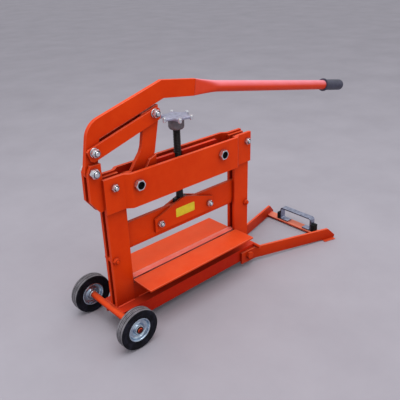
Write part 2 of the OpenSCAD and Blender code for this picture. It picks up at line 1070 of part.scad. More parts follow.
module cheek_front() {
    cheek(-plate_half - cheek_t, -plate_half);
}

module cheek_rear() {
    cheek(plate_half, plate_half + cheek_t);
}

module cheek_bolts() {
    color(zinc)
        place()
            for (side = [-1, 1])
                through_bolt([column_mid + side * cheek_bolt_x, cheek_bolt_z], cheek_bolt,
                    plate_half + cheek_t, plate_half + cheek_t);
}

// two pins across the spindle's groove, each reaching to both sides of the centre plane
module lock_pins(reach) {
    offset_x = groove_d / 2 + lock_pin_d / 2 + 0.4;
    for (side = [-1, 1])
        cross_rod([spindle_x + side * offset_x, groove_z], lock_pin_d, -reach, reach);
}

module thrust_block() {
    color(dark)
        place()
            difference() {
                translate([spindle_x - thrust_half_x, -plate_half, blade_top])
                    cube([2 * thrust_half_x, 2 * plate_half, thrust_h]);
                translate([spindle_x, 0, journal_foot])
                    cylinder(d = journal_d + 2 * run_fit, h = thrust_h);
                lock_pins(plate_half + 1);
            }
}

module thrust_pins() {
    color(dark)
        place()
            lock_pins(plate_half);
}

// Fork

// x of a point at a length along the splayed part
function fork_reach(along) = fork_bend_x + along * cos(fork_splay);

// height of a fork arm's middle line at x
function fork_mid(x) = fork_z - fork_drop - (x - fork_pivot_x) * fork_slope;

// distance of an arm's inner face from the centre plane at x, past the bend
function fork_inner(x) = fork_in + (x - fork_bend_x) * tan(fork_splay);

// frame of the rear arm's splayed part, along local X from the bend
module splay_frame() {
    translate([fork_bend_x, fork_in, 0])
        rotate([0, 0, fork_splay])
            children();
}

// plan of the rear arm: straight beside the base, then splayed
module fork_plan() {
    tail_x = fork_pivot_x - fork_tail;
    tip = [fork_bend_x, fork_in] + fork_run * [cos(fork_splay), sin(fork_splay)];
    across = fork_t * [-sin(fork_splay), cos(fork_splay)];
    polygon([
        [tail_x, fork_in], [fork_bend_x, fork_in], tip, tip + across,
        [fork_bend_x - fork_t * tan(fork_splay / 2), fork_in + fork_t], [tail_x, fork_in + fork_t]
    ]);
}

// side view of an arm: a flat bar that falls to its foot, with a sloped nose
module fork_side() {
    half = fork_h / 2;
    tail_x = fork_pivot_x - fork_tail;
    nose_x = fork_reach(fork_run - 36);
    tip_x = fork_reach(fork_run);
    polygon([
        [tail_x, fork_mid(tail_x) - half], [tail_x, fork_mid(tail_x) + half],
        [nose_x, fork_mid(nose_x) + half], [tip_x, foot_t + 8], [tip_x, foot_t],
        [fork_reach(fork_run - fork_flat), foot_t]
    ]);
}

module fork_arm() {
    color(paint)
        place()
            difference() {
                intersection() {
                    linear_extrude(2 * fork_z)
                        fork_plan();
                    side_plate(0, 2 * base_w)
                        fork_side();
                }
                cross_rod([fork_pivot_x, fork_z], fork_bolt[0] + 2 * run_fit, 0, base_w);
            }
}

module fork_arm_rear() {
    fork_arm();
}

module fork_arm_front() {
    mirror([0, 1, 0])
        fork_arm();
}

module fork_cross_bar() {
    cross_x1 = cross_x0 + cross_w;
    color(paint)
        place()
            translate([0, 0, cross_z])
                linear_extrude(cross_t)
                    polygon([
                        [cross_x0, -fork_inner(cross_x0)], [cross_x1, -fork_inner(cross_x1)],
                        [cross_x1, fork_inner(cross_x1)], [cross_x0, fork_inner(cross_x0)]
                    ]);
}

module fork_feet() {
    color(paint)
        place()
            both_sides()
                splay_frame()
                    translate([fork_run - fork_flat + 4, -3, 0])
                        cube([fork_flat - 10, fork_t + 17, foot_t]);
}

// flat strip bent into a bow, its feet turned inward on the cross bar
module bow_handle() {
    z0 = cross_z + cross_t;
    z1 = z0 + bow_h;
    leg_in = bow_half - bow_t;
    foot_in = bow_half - bow_foot;
    color(zinc)
        place()
            translate([bow_x, 0, 0])
                rotate([90, 0, 90])
                    linear_extrude(bow_w)
                        polygon([
                            [-bow_half, z0], [-bow_half, z1], [bow_half, z1], [bow_half, z0],
                            [foot_in, z0], [foot_in, z0 + bow_t], [leg_in, z0 + bow_t], [leg_in, z1 - bow_t],
                            [-leg_in, z1 - bow_t], [-leg_in, z0 + bow_t], [-foot_in, z0 + bow_t],
                            [-foot_in, z0]
                        ]);
}

module handle_pads() {
    color(rubber)
        place()
            both_sides()
                translate([bow_x, bow_half, cross_z + cross_t])
                    cube([bow_w, pad_len, pad_h]);
}

// Drawing

base_channel();
axle();
axle_clips();
column_left_front();
column_left_rear();
column_right_front();
column_right_rear();
column_spacers();
column_bolts();
beam_front();
beam_rear();
beam_bolts();
ear_front();
ear_rear();
lever_bolt();
pivot_pins();
pivot_nuts();
pivot_spacers();
lower_carrier();
lower_blade();
table_front_plate();
table_rear_plate();
table_gussets();
stop_rod();
fork_bolts();
tyre_front();
rim_front();
hub_front();
tyre_rear();
rim_rear();
hub_rear();
lever_plate();
handle_tube();
grip();
link_front();
link_rear();
link_bolts();
link_washers();
crank_plate();
crank_cheek_front();
crank_cheek_rear();
crank_pin();
pressure_bar();
barrel_nut();
blade_plate();
upper_blade();
cheek_front();
cheek_rear();
cheek_bolts();
thrust_block();
thrust_pins();
spindle();
handwheel_hub();
handwheel_star();
fork_arm_front();
fork_arm_rear();
fork_cross_bar();
fork_feet();
bow_handle();
handle_pads();
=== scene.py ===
"""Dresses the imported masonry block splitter.

Gives every piece its material, rounds plate edges, cuts threads, lays weld seams and a blank label,
and sets up floor, light and camera.
"""

import json
import math

import bmesh
import bpy
from mathutils import Matrix, Vector


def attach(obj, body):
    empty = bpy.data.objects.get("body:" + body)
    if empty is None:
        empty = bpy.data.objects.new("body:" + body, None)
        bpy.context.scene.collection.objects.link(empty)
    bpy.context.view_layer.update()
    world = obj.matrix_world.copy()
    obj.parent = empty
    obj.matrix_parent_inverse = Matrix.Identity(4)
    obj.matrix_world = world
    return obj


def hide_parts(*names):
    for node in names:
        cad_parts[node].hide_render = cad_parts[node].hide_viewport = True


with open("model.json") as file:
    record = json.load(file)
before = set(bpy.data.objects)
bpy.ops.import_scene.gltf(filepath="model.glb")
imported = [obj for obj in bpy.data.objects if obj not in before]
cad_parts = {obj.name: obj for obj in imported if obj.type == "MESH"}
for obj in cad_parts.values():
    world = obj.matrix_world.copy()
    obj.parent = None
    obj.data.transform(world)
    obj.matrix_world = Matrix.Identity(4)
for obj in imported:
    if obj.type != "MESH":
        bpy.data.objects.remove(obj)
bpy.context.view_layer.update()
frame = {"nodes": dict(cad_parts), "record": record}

MM_PER_M = 1000
# The CAD model's row origin, in millimetres from the left column's inner edge
ORIGIN_X = 455.1001
X_AXIS = Vector((1.0, 0.0, 0.0))
Y_AXIS = Vector((0.0, 1.0, 0.0))
Z_AXIS = Vector((0.0, 0.0, 1.0))
# points round a ring: the usual count, then those of wheels, of rods, of bolt ends and studs
SIDES = 48
WHEEL_SIDES = 96
ROD_SIDES = 32
THIN_SIDES = 24


def at(x, y, z):
    """A point given in millimetres from the left column's inner edge, in the row frame."""
    return Vector(((x - ORIGIN_X) / MM_PER_M, y / MM_PER_M, z / MM_PER_M))


def linear(r, g, b):
    """A colour given as 8-bit sRGB, as linear values with alpha."""
    def channel(v):
        v = v / 255
        return v / 12.92 if v <= 0.04045 else ((v + 0.055) / 1.055) ** 2.4
    return (channel(r), channel(g), channel(b), 1.0)


def grey(value):
    return (value, value, value, 1.0)


# Materials


class Nodes:
    """Shorthand for a material's node tree."""

    def __init__(self, name):
        self.material = bpy.data.materials.new(name)
        self.material.use_nodes = True
        self.tree = self.material.node_tree
        self.shader = self.tree.nodes["Principled BSDF"]
        self.place = self.add("ShaderNodeTexCoord").outputs["Object"]

    def add(self, kind, **values):
        node = self.tree.nodes.new(kind)
        for key, value in values.items():
            setattr(node, key, value)
        return node

    def link(self, source, target):
        self.tree.links.new(source, target)

    def noise(self, scale, detail, rough=0.55, stretch=None):
        node = self.add("ShaderNodeTexNoise")
        node.inputs["Scale"].default_value = scale
        node.inputs["Detail"].default_value = detail
        node.inputs["Roughness"].default_value = rough
        source = self.place
        if stretch:
            mapping = self.add("ShaderNodeMapping")
            mapping.inputs["Scale"].default_value = stretch
            self.link(source, mapping.inputs["Vector"])
            source = mapping.outputs["Vector"]
        self.link(source, node.inputs["Vector"])
        return node.outputs["Fac"]

    def ramp(self, source, low_at, low, high_at, high):
        """A colour that goes from one to another as the source goes from one level to another."""
        node = self.add("ShaderNodeValToRGB")
        stops = ((low_at, low), (high_at, high))
        for element, (position, colour) in zip(node.color_ramp.elements, stops):
            element.position = position
            element.color = colour
        self.link(source, node.inputs["Fac"])
        return node.outputs["Color"]

    def share(self, source, none_at, full_at, most):
        """A share that grows from none to the most as the source goes from one level to another."""
        return self.ramp(source, none_at, grey(0.0), full_at, grey(most))

    def mix(self, amount, a, b):
        node = self.add("ShaderNodeMix", data_type="RGBA")
        self.link(amount, node.inputs["Factor"])
        for value, socket in ((a, node.inputs["A"]), (b, node.inputs["B"])):
            if isinstance(value, tuple):
                socket.default_value = value
            else:
                self.link(value, socket)
        return node.outputs["Result"]

    def math(self, kind, a, b):
        node = self.add("ShaderNodeMath", operation=kind)
        for value, socket in zip((a, b), node.inputs):
            if isinstance(value, (int, float)):
                socket.default_value = value
            else:
                self.link(value, socket)
        return node.outputs["Value"]

    def spread(self, source, low, high):
        node = self.add("ShaderNodeMapRange")
        node.inputs["To Min"].default_value = low
        node.inputs["To Max"].default_value = high
        self.link(source, node.inputs["Value"])
        return node.outputs["Result"]

    def upward(self):
        """How far the surface faces up, from 0 to 1."""
        split = self.add("ShaderNodeSeparateXYZ")
        self.link(self.add("ShaderNodeNewGeometry").outputs["True Normal"], split.inputs["Vector"])
        return self.math("MAXIMUM", split.outputs["Z"], 0.0)

    def corners(self, distance, full_at, none_at, most):
        """How far a place lies in a corner or a gap: a share of painted shade, which darkens the colour
        where shade falls.
        """
        node = self.add("ShaderNodeAmbientOcclusion", samples=6)
        node.inputs["Distance"].default_value = distance
        return self.ramp(node.outputs["AO"], full_at, grey(most), none_at, grey(0.0))

    def surface(self, colour, roughness, height, distance, strength):
        """Joins a colour, a roughness and a bump of some height to the shader. Returns the material."""
        self.link(colour, self.shader.inputs["Base Color"])
        self.link(roughness, self.shader.inputs["Roughness"])
        node = self.add("ShaderNodeBump")
        node.inputs["Strength"].default_value = strength
        node.inputs["Distance"].default_value = distance
        self.link(height, node.inputs["Height"])
        self.link(node.outputs["Normal"], self.shader.inputs["Normal"])
        return self.material


FADED_COAT = linear(236, 78, 16)
CHIP_COLOUR = linear(104, 36, 20)
# the corner, gap and zinc colours below are painted shade: the deep tones that corners and gaps are darkened
# to
CORNER_SHADE = linear(124, 8, 6)
RUBBED_STREAK = linear(216, 70, 46)
GAP_SHADE = linear(78, 2, 2)
DULL_SPOT = linear(112, 104, 98)
ZINC_CORNER_SHADE = linear(46, 44, 48)
PAINT_SPECULAR = 0.09
RUBBER_SPECULAR = 0.16
RUBBER_DUST_RANGE = 0.35


def paint_material(name, coat_low, coat_high, dust_least, dust_most, dust_and_sheen_colour):
    """Thick site paint: uneven coats, small chips, painted shade in corners and gaps, dust and a painted
    sheen on what faces up, an orange peel.
    """
    facing_up, anywhere = 0.95, 0.05
    wave_height, chip_depth = 1.5, 0.8
    n = Nodes(name)
    coats = n.ramp(n.noise(scale=9.0, detail=5.0), 0.3, coat_low, 0.7, coat_high)
    fade = n.share(n.noise(scale=42.0, detail=6.0, rough=0.65), none_at=0.45, full_at=0.78, most=0.3)
    faded = n.mix(fade, coats, FADED_COAT)
    chips = n.share(n.noise(scale=95.0, detail=8.0, rough=0.7), none_at=0.735, full_at=0.76, most=1.0)
    chipped = n.mix(chips, faded, CHIP_COLOUR)
    # painted shade: corners and gaps darkened toward deep red
    corners = n.corners(distance=0.12, full_at=0.32, none_at=0.95, most=0.82)
    corner_shaded = n.mix(corners, chipped, CORNER_SHADE)
    # dust and a painted sheen: a paler tint laid on what faces up
    cloud = n.spread(n.noise(scale=22.0, detail=8.0, rough=0.6), dust_least, dust_most)
    lying = n.math("ADD", n.math("MULTIPLY", n.upward(), facing_up), anywhere)
    dusted_and_sheened = n.mix(n.math("MULTIPLY", cloud, lying), corner_shaded, dust_and_sheen_colour)
    roughness = n.spread(n.noise(scale=60.0, detail=6.0), low=0.32, high=0.55)
    n.shader.inputs["Specular IOR Level"].default_value = PAINT_SPECULAR
    waves = n.math("MULTIPLY", n.noise(scale=28.0, detail=3.0), wave_height)
    grain = n.math("ADD", n.noise(scale=420.0, detail=3.0), waves)
    height = n.math("SUBTRACT", grain, n.math("MULTIPLY", chips, chip_depth))
    return n.surface(dusted_and_sheened, roughness, height, distance=0.00016, strength=0.5)


def blade_sheen_material():
    """The paint of the lower blade: its pale pink is mostly a painted reflection, with rubbed streaks from
    the blocks that lie on it and painted shade in the gaps beside it.
    """
    n = Nodes("rubbed_sheen_paint")
    patches = n.noise(scale=14.0, detail=6.0, rough=0.6)
    # pale pink tones: mostly a painted reflection on the blade's sloped top
    coats = n.ramp(patches, 0.3, linear(226, 88, 68), 0.75, linear(242, 120, 106))
    lines = n.noise(scale=40.0, detail=6.0, rough=0.7, stretch=(0.15, 1.0, 1.0))
    streaked = n.mix(n.share(lines, none_at=0.5, full_at=0.75, most=0.4), coats, RUBBED_STREAK)
    # painted shade: the gaps beside the blade darkened nearly to black
    corners = n.corners(distance=0.03, full_at=0.55, none_at=0.85, most=1.0)
    corner_shaded = n.mix(corners, streaked, GAP_SHADE)
    roughness = n.spread(n.noise(scale=80.0, detail=6.0), low=0.25, high=0.5)
    return n.surface(corner_shaded, roughness, n.noise(scale=420.0, detail=3.0), distance=0.00012, strength=0.5)


def zinc_material(name, low, high, rough_low, rough_high, metal=0.9, corner_shade=0.4):
    """Plated steel: cloudy passivation, dull spots, a fine grain and painted shade in corners."""
    n = Nodes(name)
    cloud = n.ramp(n.noise(scale=70.0, detail=6.0, rough=0.6), 0.3, low, 0.72, high)
    spots = n.share(n.noise(scale=160.0, detail=7.0, rough=0.7), none_at=0.62, full_at=0.75, most=0.45)
    spotted = n.mix(spots, cloud, DULL_SPOT)
    # painted shade in corners and hollows
    corners = n.corners(distance=0.014, full_at=0.15, none_at=0.75, most=corner_shade)
    corner_shaded = n.mix(corners, spotted, ZINC_CORNER_SHADE)
    n.shader.inputs["Metallic"].default_value = metal
    roughness = n.spread(n.noise(scale=120.0, detail=6.0), rough_low, rough_high)
    grain = n.noise(scale=600.0, detail=3.0, rough=0.6)
    return n.surface(corner_shaded, roughness, grain, distance=0.00008, strength=0.6)


def rubber_material(name, dark, dusty, dust_from, dust_most=0.8):
    """A dull dark surface, greyed by dust: moulded rubber, nylon, grease."""
    n = Nodes(name)
    patches = n.noise(scale=38.0, detail=8.0, rough=0.65)
    dust = n.share(patches, none_at=dust_from, full_at=dust_from + RUBBER_DUST_RANGE, most=dust_most)
    roughness = n.spread(n.noise(scale=90.0, detail=5.0), low=0.62, high=0.88)
    n.shader.inputs["Specular IOR Level"].default_value = RUBBER_SPECULAR
    grain = n.noise(scale=700.0, detail=4.0)
    return n.surface(n.mix(dust, dark, dusty), roughness, grain, distance=0.00012, strength=0.7)


def clouded_material(name, tones, levels, cloud_noise, rough_noise, rough, grain_noise, grain, metal=0.0):
    """A surface clouded between two tones, with uneven gloss and a grain.

    The tones are pure at the two levels of the cloud. Each noise is a scale and a detail, rough the least
    and the most roughness, grain the bump's distance and strength.
    """
    n = Nodes(name)
    low, high = tones
    low_at, high_at = levels
    cloud = n.ramp(n.noise(*cloud_noise), low_at, low, high_at, high)
    n.shader.inputs["Metallic"].default_value = metal
    return n.surface(cloud, n.spread(n.noise(*rough_noise), *rough), n.noise(*grain_noise), *grain)


COAT_LOW = linear(220, 55, 1)
COAT_HIGH = linear(231, 63, 4)
# pale orange for what faces up: partly dust, partly a painted sheen
ORANGE_DUST_AND_SHEEN = linear(252, 146, 96)
PAINT = paint_material("orange_paint", COAT_LOW, COAT_HIGH, 0.02, 0.22, ORANGE_DUST_AND_SHEEN)
# the same paint with a strong painted sheen: a cool, pale tint on what faces up stands in for the reflection
# along the round tube's top
TUBE_PAINT = paint_material("sheen_paint", COAT_LOW, COAT_HIGH, 0.28, 0.5, linear(250, 206, 236))
# a lit copy of the paint: brighter coats and more dust and painted sheen, painted light on the rear table
# and the axle
LIT_PAINT = paint_material(
    "lit_paint", linear(236, 63, 8), linear(246, 71, 12), 0.05, 0.25, ORANGE_DUST_AND_SHEEN
)
# a shaded copy of the paint: deeper, darker coats, painted shade on the base channel and the pressure bar
SHADED_PAINT = paint_material(
    "shaded_paint", linear(212, 34, 1), linear(222, 42, 3), 0.02, 0.22, linear(252, 120, 80)
)
# paint worn pale at edges, its pale edges partly a painted highlight, with more dust and painted sheen on
# what faces up
WORN_HIGHLIGHT_PAINT = paint_material(
    "worn_highlight_paint", linear(230, 78, 30), linear(242, 108, 74), 0.25, 0.5, linear(252, 176, 150)
)
# nearly black paint for the axle's end faces: painted shade
END_SHADE_PAINT = paint_material("axle_end_shade_paint", linear(40, 10, 12), linear(70, 20, 20), 0.0, 0.1, grey(0.2))
WELD = clouded_material(
    "painted_weld", (linear(200, 48, 5), linear(224, 62, 10)), (0.3, 0.7), (60.0, 5.0),
    (90.0, 5.0), (0.35, 0.6), (520.0, 4.0), (0.0003, 0.7),
)
BLADE_SHEEN_PAINT = blade_sheen_material()
ZINC = zinc_material("zinc_plate", linear(196, 198, 206), linear(240, 242, 246), 0.16, 0.3)
# the rim's dish and the ring round the axle darkened strongly by painted shade
RIM = zinc_material("rim_zinc", linear(140, 158, 180), linear(214, 228, 240), 0.12, 0.26, corner_shade=0.8)
STAR = zinc_material("star_zinc", linear(140, 140, 160), linear(184, 184, 206), 0.36, 0.55, metal=0.6)
BOW = zinc_material("bow_zinc", linear(122, 126, 148), linear(176, 180, 202), 0.18, 0.32)
BOW_EDGE = zinc_material("bow_edge_zinc", linear(52, 52, 68), linear(88, 88, 108), 0.24, 0.4)
# the handwheel's hub, slightly brown, with a sand-cast grain
CAST = clouded_material(
    "cast_grey", (linear(96, 89, 94), linear(132, 122, 126)), (0.3, 0.75), (65.0, 6.0),
    (150.0, 5.0), (0.42, 0.65), (420.0, 4.0), (0.0002, 0.7), metal=0.45,
)
# oiled steel with rubbed, slightly brown patches
BLACK = clouded_material(
    "black_steel", (linear(18, 17, 18), linear(40, 37, 36)), (0.35, 0.75), (80.0, 6.0),
    (140.0, 5.0), (0.32, 0.55), (500.0, 3.0), (0.00008, 0.5), metal=0.55,
)
TYRE = rubber_material("tyre_rubber", linear(10, 10, 17), linear(46, 45, 62), 0.46)
TREAD = rubber_material("tread_dusty", linear(90, 87, 92), linear(140, 136, 142), 0.3, dust_most=0.9)
PAD = rubber_material("pad_rubber", linear(18, 18, 19), linear(50, 48, 48), 0.62)
GREASE = rubber_material("pin_grease", linear(9, 9, 11), linear(26, 25, 27), 0.6)
NYLON = rubber_material("nut_nylon", linear(30, 34, 40), linear(66, 68, 72), 0.5)
GRIP = clouded_material(
    "grip_plastic", (linear(45, 45, 60), linear(68, 68, 90)), (0.3, 0.75), (55.0, 5.0),
    (110.0, 4.0), (0.38, 0.55), (900.0, 3.0), (0.00008, 0.6),
)
LABEL = clouded_material(
    "plain_yellow", (linear(226, 196, 14), linear(240, 214, 34)), (0.3, 0.75), (60.0, 6.0),
    (130.0, 4.0), (0.35, 0.55), (300.0, 3.0), (0.00005, 0.5),
)
SLOT_MATERIALS = {"paint": PAINT, "zinc": ZINC, "dark_steel": BLACK, "tyre": TYRE, "pad": PAD, "grip": GRIP}

slot_of = {part["node"]: part["material_slot"] for part in frame["record"]["subparts"]}
body_of = {
    node_name: body
    for body, members in frame["record"]["behaviour"]["bodies"].items()
    for node_name in members
}
for node_name, node_object in frame["nodes"].items():
    node_object.data.materials.clear()
    node_object.data.materials.append(SLOT_MATERIALS[slot_of[node_name]])

# Mesh building


class Shape:
    """Points and faces of one mesh, gathered part by part. Faces keep the material index in use."""

    def __init__(self):
        self.points = []
        self.faces = []
        self.indices = []
        self.index = 0

    def face(self, corners):
        self.faces.append(tuple(corners))
        self.indices.append(self.index)

    def skin(self, rings, loop=False):
        """Joins closed rings of points in order. The ends are capped, or joined to each other in a loop."""
        start = len(self.points)
        count = len(rings[0])
        for ring in rings:
            self.points.extend(ring)
        rows = len(rings) if loop else len(rings) - 1
        for row in range(rows):
            a = start + row * count
            b = start + (row + 1) % len(rings) * count
            for k in range(count):
                j = (k + 1) % count
                self.face((a + k, a + j, b + j, b + k))
        if not loop:
            self.face(reversed(range(start, start + count)))
            last = start + (len(rings) - 1) * count
            self.face(range(last, last + count))

    def turned(self, place, profile, count=SIDES, loop=False):
        """Turns a profile of radius and height, in millimetres, about the place's own Z axis."""
        self.skin([round_ring(place, r, h, count) for r, h in profile], loop)


# an edge bent by more than this many degrees is shaded hard, unless the piece has its own limit
HARD_FROM = 32.0


def put(name, mesh, materials, body, stands_for, sharp):
    """Makes a piece of a mesh: its materials, its smooth shading, the body that it rides on."""
    for material in materials:
        mesh.materials.append(material)
    mesh.shade_smooth()
    mesh.set_sharp_from_angle(angle=math.radians(sharp))
    piece = bpy.data.objects.new(name, mesh)
    bpy.context.scene.collection.objects.link(piece)
    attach(piece, body)
    if stands_for:
        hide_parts(*stands_for)
    return piece


def build(name, shape, materials, body, stands_for=(), sharp=HARD_FROM):
    """Makes a piece of a gathered shape, with its faces turned outward."""
    mesh = bpy.data.meshes.new(name)
    mesh.from_pydata(shape.points, [], shape.faces)
    for polygon, index in zip(mesh.polygons, shape.indices):
        polygon.material_index = index
    work = bmesh.new()
    work.from_mesh(mesh)
    bmesh.ops.recalc_face_normals(work, faces=work.faces)
    work.to_mesh(mesh)
    work.free()
    put(name, mesh, materials, body, stands_for, sharp)


def axis_frame(origin, z_axis, x_axis):
    """A local frame in the row frame, from its origin, its Z axis and its X axis."""
    y_axis = z_axis.cross(x_axis)
    turn = Matrix((x_axis, y_axis, z_axis)).transposed()
    return Matrix.Translation(origin) @ turn.to_4x4()


def local(place, x, y, z):
    """A point in millimetres in a local frame."""
    return place @ Vector((x / MM_PER_M, y / MM_PER_M, z / MM_PER_M))


def circle(count):
    """Angles spread evenly round a circle."""
    return [2 * math.pi * k / count for k in range(count)]


def round_ring(place, radius, height, count=SIDES):
    """A ring of points about the place's own Z axis."""
    return [local(place, radius * math.cos(a), radius * math.sin(a), height) for a in circle(count)]


def facing(x, z, y, front):
    """A frame on the machine's side at height z, its Z axis pointing out of the front or the back."""
    outward = -Y_AXIS if front else Y_AXIS
    return axis_frame(at(x, y, z), outward, X_AXIS)


# Rounded copies of plates and bars

MERGE_WITHIN = 0.00001
FLAT_WITHIN = math.radians(0.4)
# an edge past the first angle is rounded; a long one under the second is a bend of the plate
SHARP_LEAST = math.radians(28.0)
BEND_MOST = math.radians(60.0)
BEND_LEAST = 0.025
BEND_WIDTH = 0.003
PLATE_HARD_FROM = 50.0
# painted pieces whose edges have kept their paint
FULL_COAT = {
    "blade_plate", "upper_blade", "cheek_front", "cheek_rear", "lower_carrier", "table_gussets",
    "pressure_bar",
}
# paints that wear off at an edge
WEARING = {PAINT, LIT_PAINT, SHADED_PAINT}


def sharp_edges(work):
    """The edges that are sharp enough to be rounded."""
    return [e for e in work.edges if len(e.link_faces) == 2 and e.calc_face_angle(0.0) > SHARP_LEAST]


def is_bend(edge):
    return edge.calc_face_angle(0.0) < BEND_MOST and edge.calc_length() > BEND_LEAST


def bevel(work, edges, width, **more):
    bmesh.ops.bevel(
        work, geom=edges, offset=width, offset_type="OFFSET", segments=2, profile=0.5,
        affect="EDGES", clamp_overlap=True, **more
    )


def rounded(node_name, width, material):
    """A copy of a CAD node with its sharp edges rounded by a width in millimetres, its paint worn pale
    there, which is partly a painted highlight.

    material is None where the piece has the usual one of its slot.
    """
    mesh = bpy.data.meshes.new(node_name + "_rounded")
    work = bmesh.new()
    work.from_mesh(frame["nodes"][node_name].data)
    bmesh.ops.remove_doubles(work, verts=work.verts, dist=MERGE_WITHIN)
    bmesh.ops.dissolve_limit(
        work, angle_limit=FLAT_WITHIN, verts=work.verts, edges=work.edges, use_dissolve_boundaries=False
    )
    for face in work.faces:
        face.material_index = 0
    bends = [e for e in sharp_edges(work) if is_bend(e)]
    if bends:
        bevel(work, bends, BEND_WIDTH)
    bevel(work, sharp_edges(work), width / MM_PER_M, material=1)
    work.to_mesh(mesh)
    work.free()
    slot = slot_of[node_name]
    finish = material or SLOT_MATERIALS[slot]
    # worn edges are paler: wear, and partly a painted highlight
    edge_finish = WORN_HIGHLIGHT_PAINT if finish in WEARING and node_name not in FULL_COAT else finish
    finishes = [finish, edge_finish]
    name = node_name + "_rounded"
    piece = put(name, mesh, finishes, body_of[node_name], [node_name], PLATE_HARD_FROM)
    weighted = piece.modifiers.new("even_shading", "WEIGHTED_NORMAL")
    weighted.keep_sharp = True


# width of the rounding, in millimetres
PLATE_ROUNDING = {
    "base_channel": 1.6, "column_left_front": 1.0, "column_left_rear": 1.0, "column_right_front": 1.0,
    "column_right_rear": 1.0, "beam_front": 1.0, "beam_rear": 1.0, "ear_front": 1.0, "ear_rear": 1.0,
    "lower_carrier": 1.0, "lower_blade": 0.6, "table_front_plate": 0.8, "table_rear_plate": 0.8,
    "table_gussets": 0.8, "lever_plate": 1.0, "link_front": 1.0, "link_rear": 1.0, "crank_plate": 1.0,
    "crank_cheek_front": 0.9, "crank_cheek_rear": 0.9, "pressure_bar": 0.8, "blade_plate": 0.9,
    "upper_blade": 0.6, "cheek_front": 0.9, "cheek_rear": 0.9, "fork_arm_front": 1.0, "fork_arm_rear": 1.0,
    "fork_cross_bar": 0.8, "fork_feet": 0.8, "stop_rod": 0.8, "thrust_block": 1.2, "handle_pads": 1.6,
    "crank_pin": 0.6, "barrel_nut": 0.6,
}
# pieces whose finish isn't the usual one of their slot: the lower blade's painted reflection, the lit copy
# of the paint on the rear table, the shaded copy on the base channel and pressure bar, and worn, highlighted
# paint on the cross bar
OTHER_FINISH = {
    "lower_blade": BLADE_SHEEN_PAINT, "table_rear_plate": LIT_PAINT, "base_channel": SHADED_PAINT,
    "pressure_bar": SHADED_PAINT, "fork_cross_bar": WORN_HIGHLIGHT_PAINT,
}
for node_name, width in PLATE_ROUNDING.items():
    rounded(node_name, width, OTHER_FINISH.get(node_name))

# Fasteners

# radii of nuts and heads are shares of the hexagon's width across its flats
CHAMFER_FROM = 0.485
CHAMFER_SLOPE = math.tan(math.radians(30))
NUT_SEAT = 0.46
# a lock nut's collar: radius as a share of the flats, height as a share of the nut's
COLLAR = [(0.475, 0.68), (0.465, 0.84), (0.445, 0.95), (0.425, 1.0)]
# a thread's outline over one pitch: the peak that its flanks point to, and their slope
THREAD_CREST = 2.0
THREAD_FLANK = 5.0
# millimetres: height of a nut's lower edge, a bolt's pitch and end, how far a shank goes past its seat
NUT_EDGE = 0.4
BOLT_PITCH = 2.0
BOLT_END = 3.0
SHANK_INTO = 0.5


def hex_radius(flats, angle):
    """Distance from the middle of a hexagon with a corner at angle 0 to its edge."""
    sixth = math.pi / 3
    return flats / 2 / math.cos(angle % sixth - sixth / 2)


def hex_ring(place, flats, height, fall):
    """A hexagonal ring whose corners are cut back to the cone that chamfers a nut.

    fall is +1 for a lower edge, -1 for an upper one and 0 for an edge without a chamfer.
    """
    ring = []
    for a in circle(SIDES):
        r = hex_radius(flats, a)
        cut = max(0.0, r - CHAMFER_FROM * flats) * CHAMFER_SLOPE * fall
        ring.append(local(place, r * math.cos(a), r * math.sin(a), height + cut))
    return ring


def thread_rings(place, radius, depth, pitch, z0, z1, count, steps=6):
    """Rings of a screw thread cut into a rod of that radius."""
    rows = max(2, math.ceil((z1 - z0) / pitch * steps))
    rings = []
    for row in range(rows + 1):
        z = z0 + (z1 - z0) * row / rows
        ring = []
        for k, a in enumerate(circle(count)):
            phase = (z / pitch - k / count) % 1.0
            crest = min(1.0, max(0.0, THREAD_CREST - abs(phase - 0.5) * THREAD_FLANK))
            r = radius - depth * (1.0 - crest)
            ring.append(local(place, r * math.cos(a), r * math.sin(a), z))
        rings.append(ring)
    return rings


def hex_head(shape, place, flats, height):
    """A plain bolt head, chamfered above, with a shallow dished top."""
    seat, rim, dish = 0.44, 0.47, 0.36
    seat_edge, dish_depth = 0.6, 0.3
    shape.skin([
        round_ring(place, seat * flats, 0.0),
        hex_ring(place, flats, seat_edge, 0),
        hex_ring(place, flats, height, -1),
        round_ring(place, rim * flats, height),
        round_ring(place, dish * flats, height - dish_depth),
    ])


def bolt_end(shape, place, height, bolt_d):
    """The threaded end of a bolt that stands out of its nut, with a chamfered tip."""
    undersize, depth, sunk = 0.7, 0.6, 1.4
    chamfer_wide, chamfer_high = 1.0, 0.9
    radius = bolt_d / 2 - undersize
    tip = height + BOLT_END
    rings = thread_rings(place, radius, depth, BOLT_PITCH, height - sunk, tip - chamfer_high, THIN_SIDES)
    rings.append(round_ring(place, radius - chamfer_wide, tip, THIN_SIDES))
    shape.skin(rings)


def lock_nut(shape, place, flats, height, bolt_d):
    """A lock nut: a chamfered hexagon, its round collar, the nylon ring in it and the bolt's end."""
    mouth_wider, mouth_depth = 1.6, 1.6
    ring_foot, ring_top, ring_inside = 1.7, 0.7, 1.0
    waist = COLLAR[0][1] * height
    mouth = bolt_d / 2 + mouth_wider
    rings = [
        round_ring(place, NUT_SEAT * flats, 0.0),
        hex_ring(place, flats, NUT_EDGE, 1),
        hex_ring(place, flats, waist, -1),
    ]
    rings += [round_ring(place, wide * flats, high * height) for wide, high in COLLAR]
    rings += [round_ring(place, mouth, height), round_ring(place, mouth, height - mouth_depth)]
    shape.skin(rings)
    shape.index = 1
    shape.turned(place, [
        (mouth, height - ring_foot), (mouth, height - ring_top), (bolt_d / 2, height - ring_inside),
    ])
    shape.index = 0
    bolt_end(shape, place, height, bolt_d)


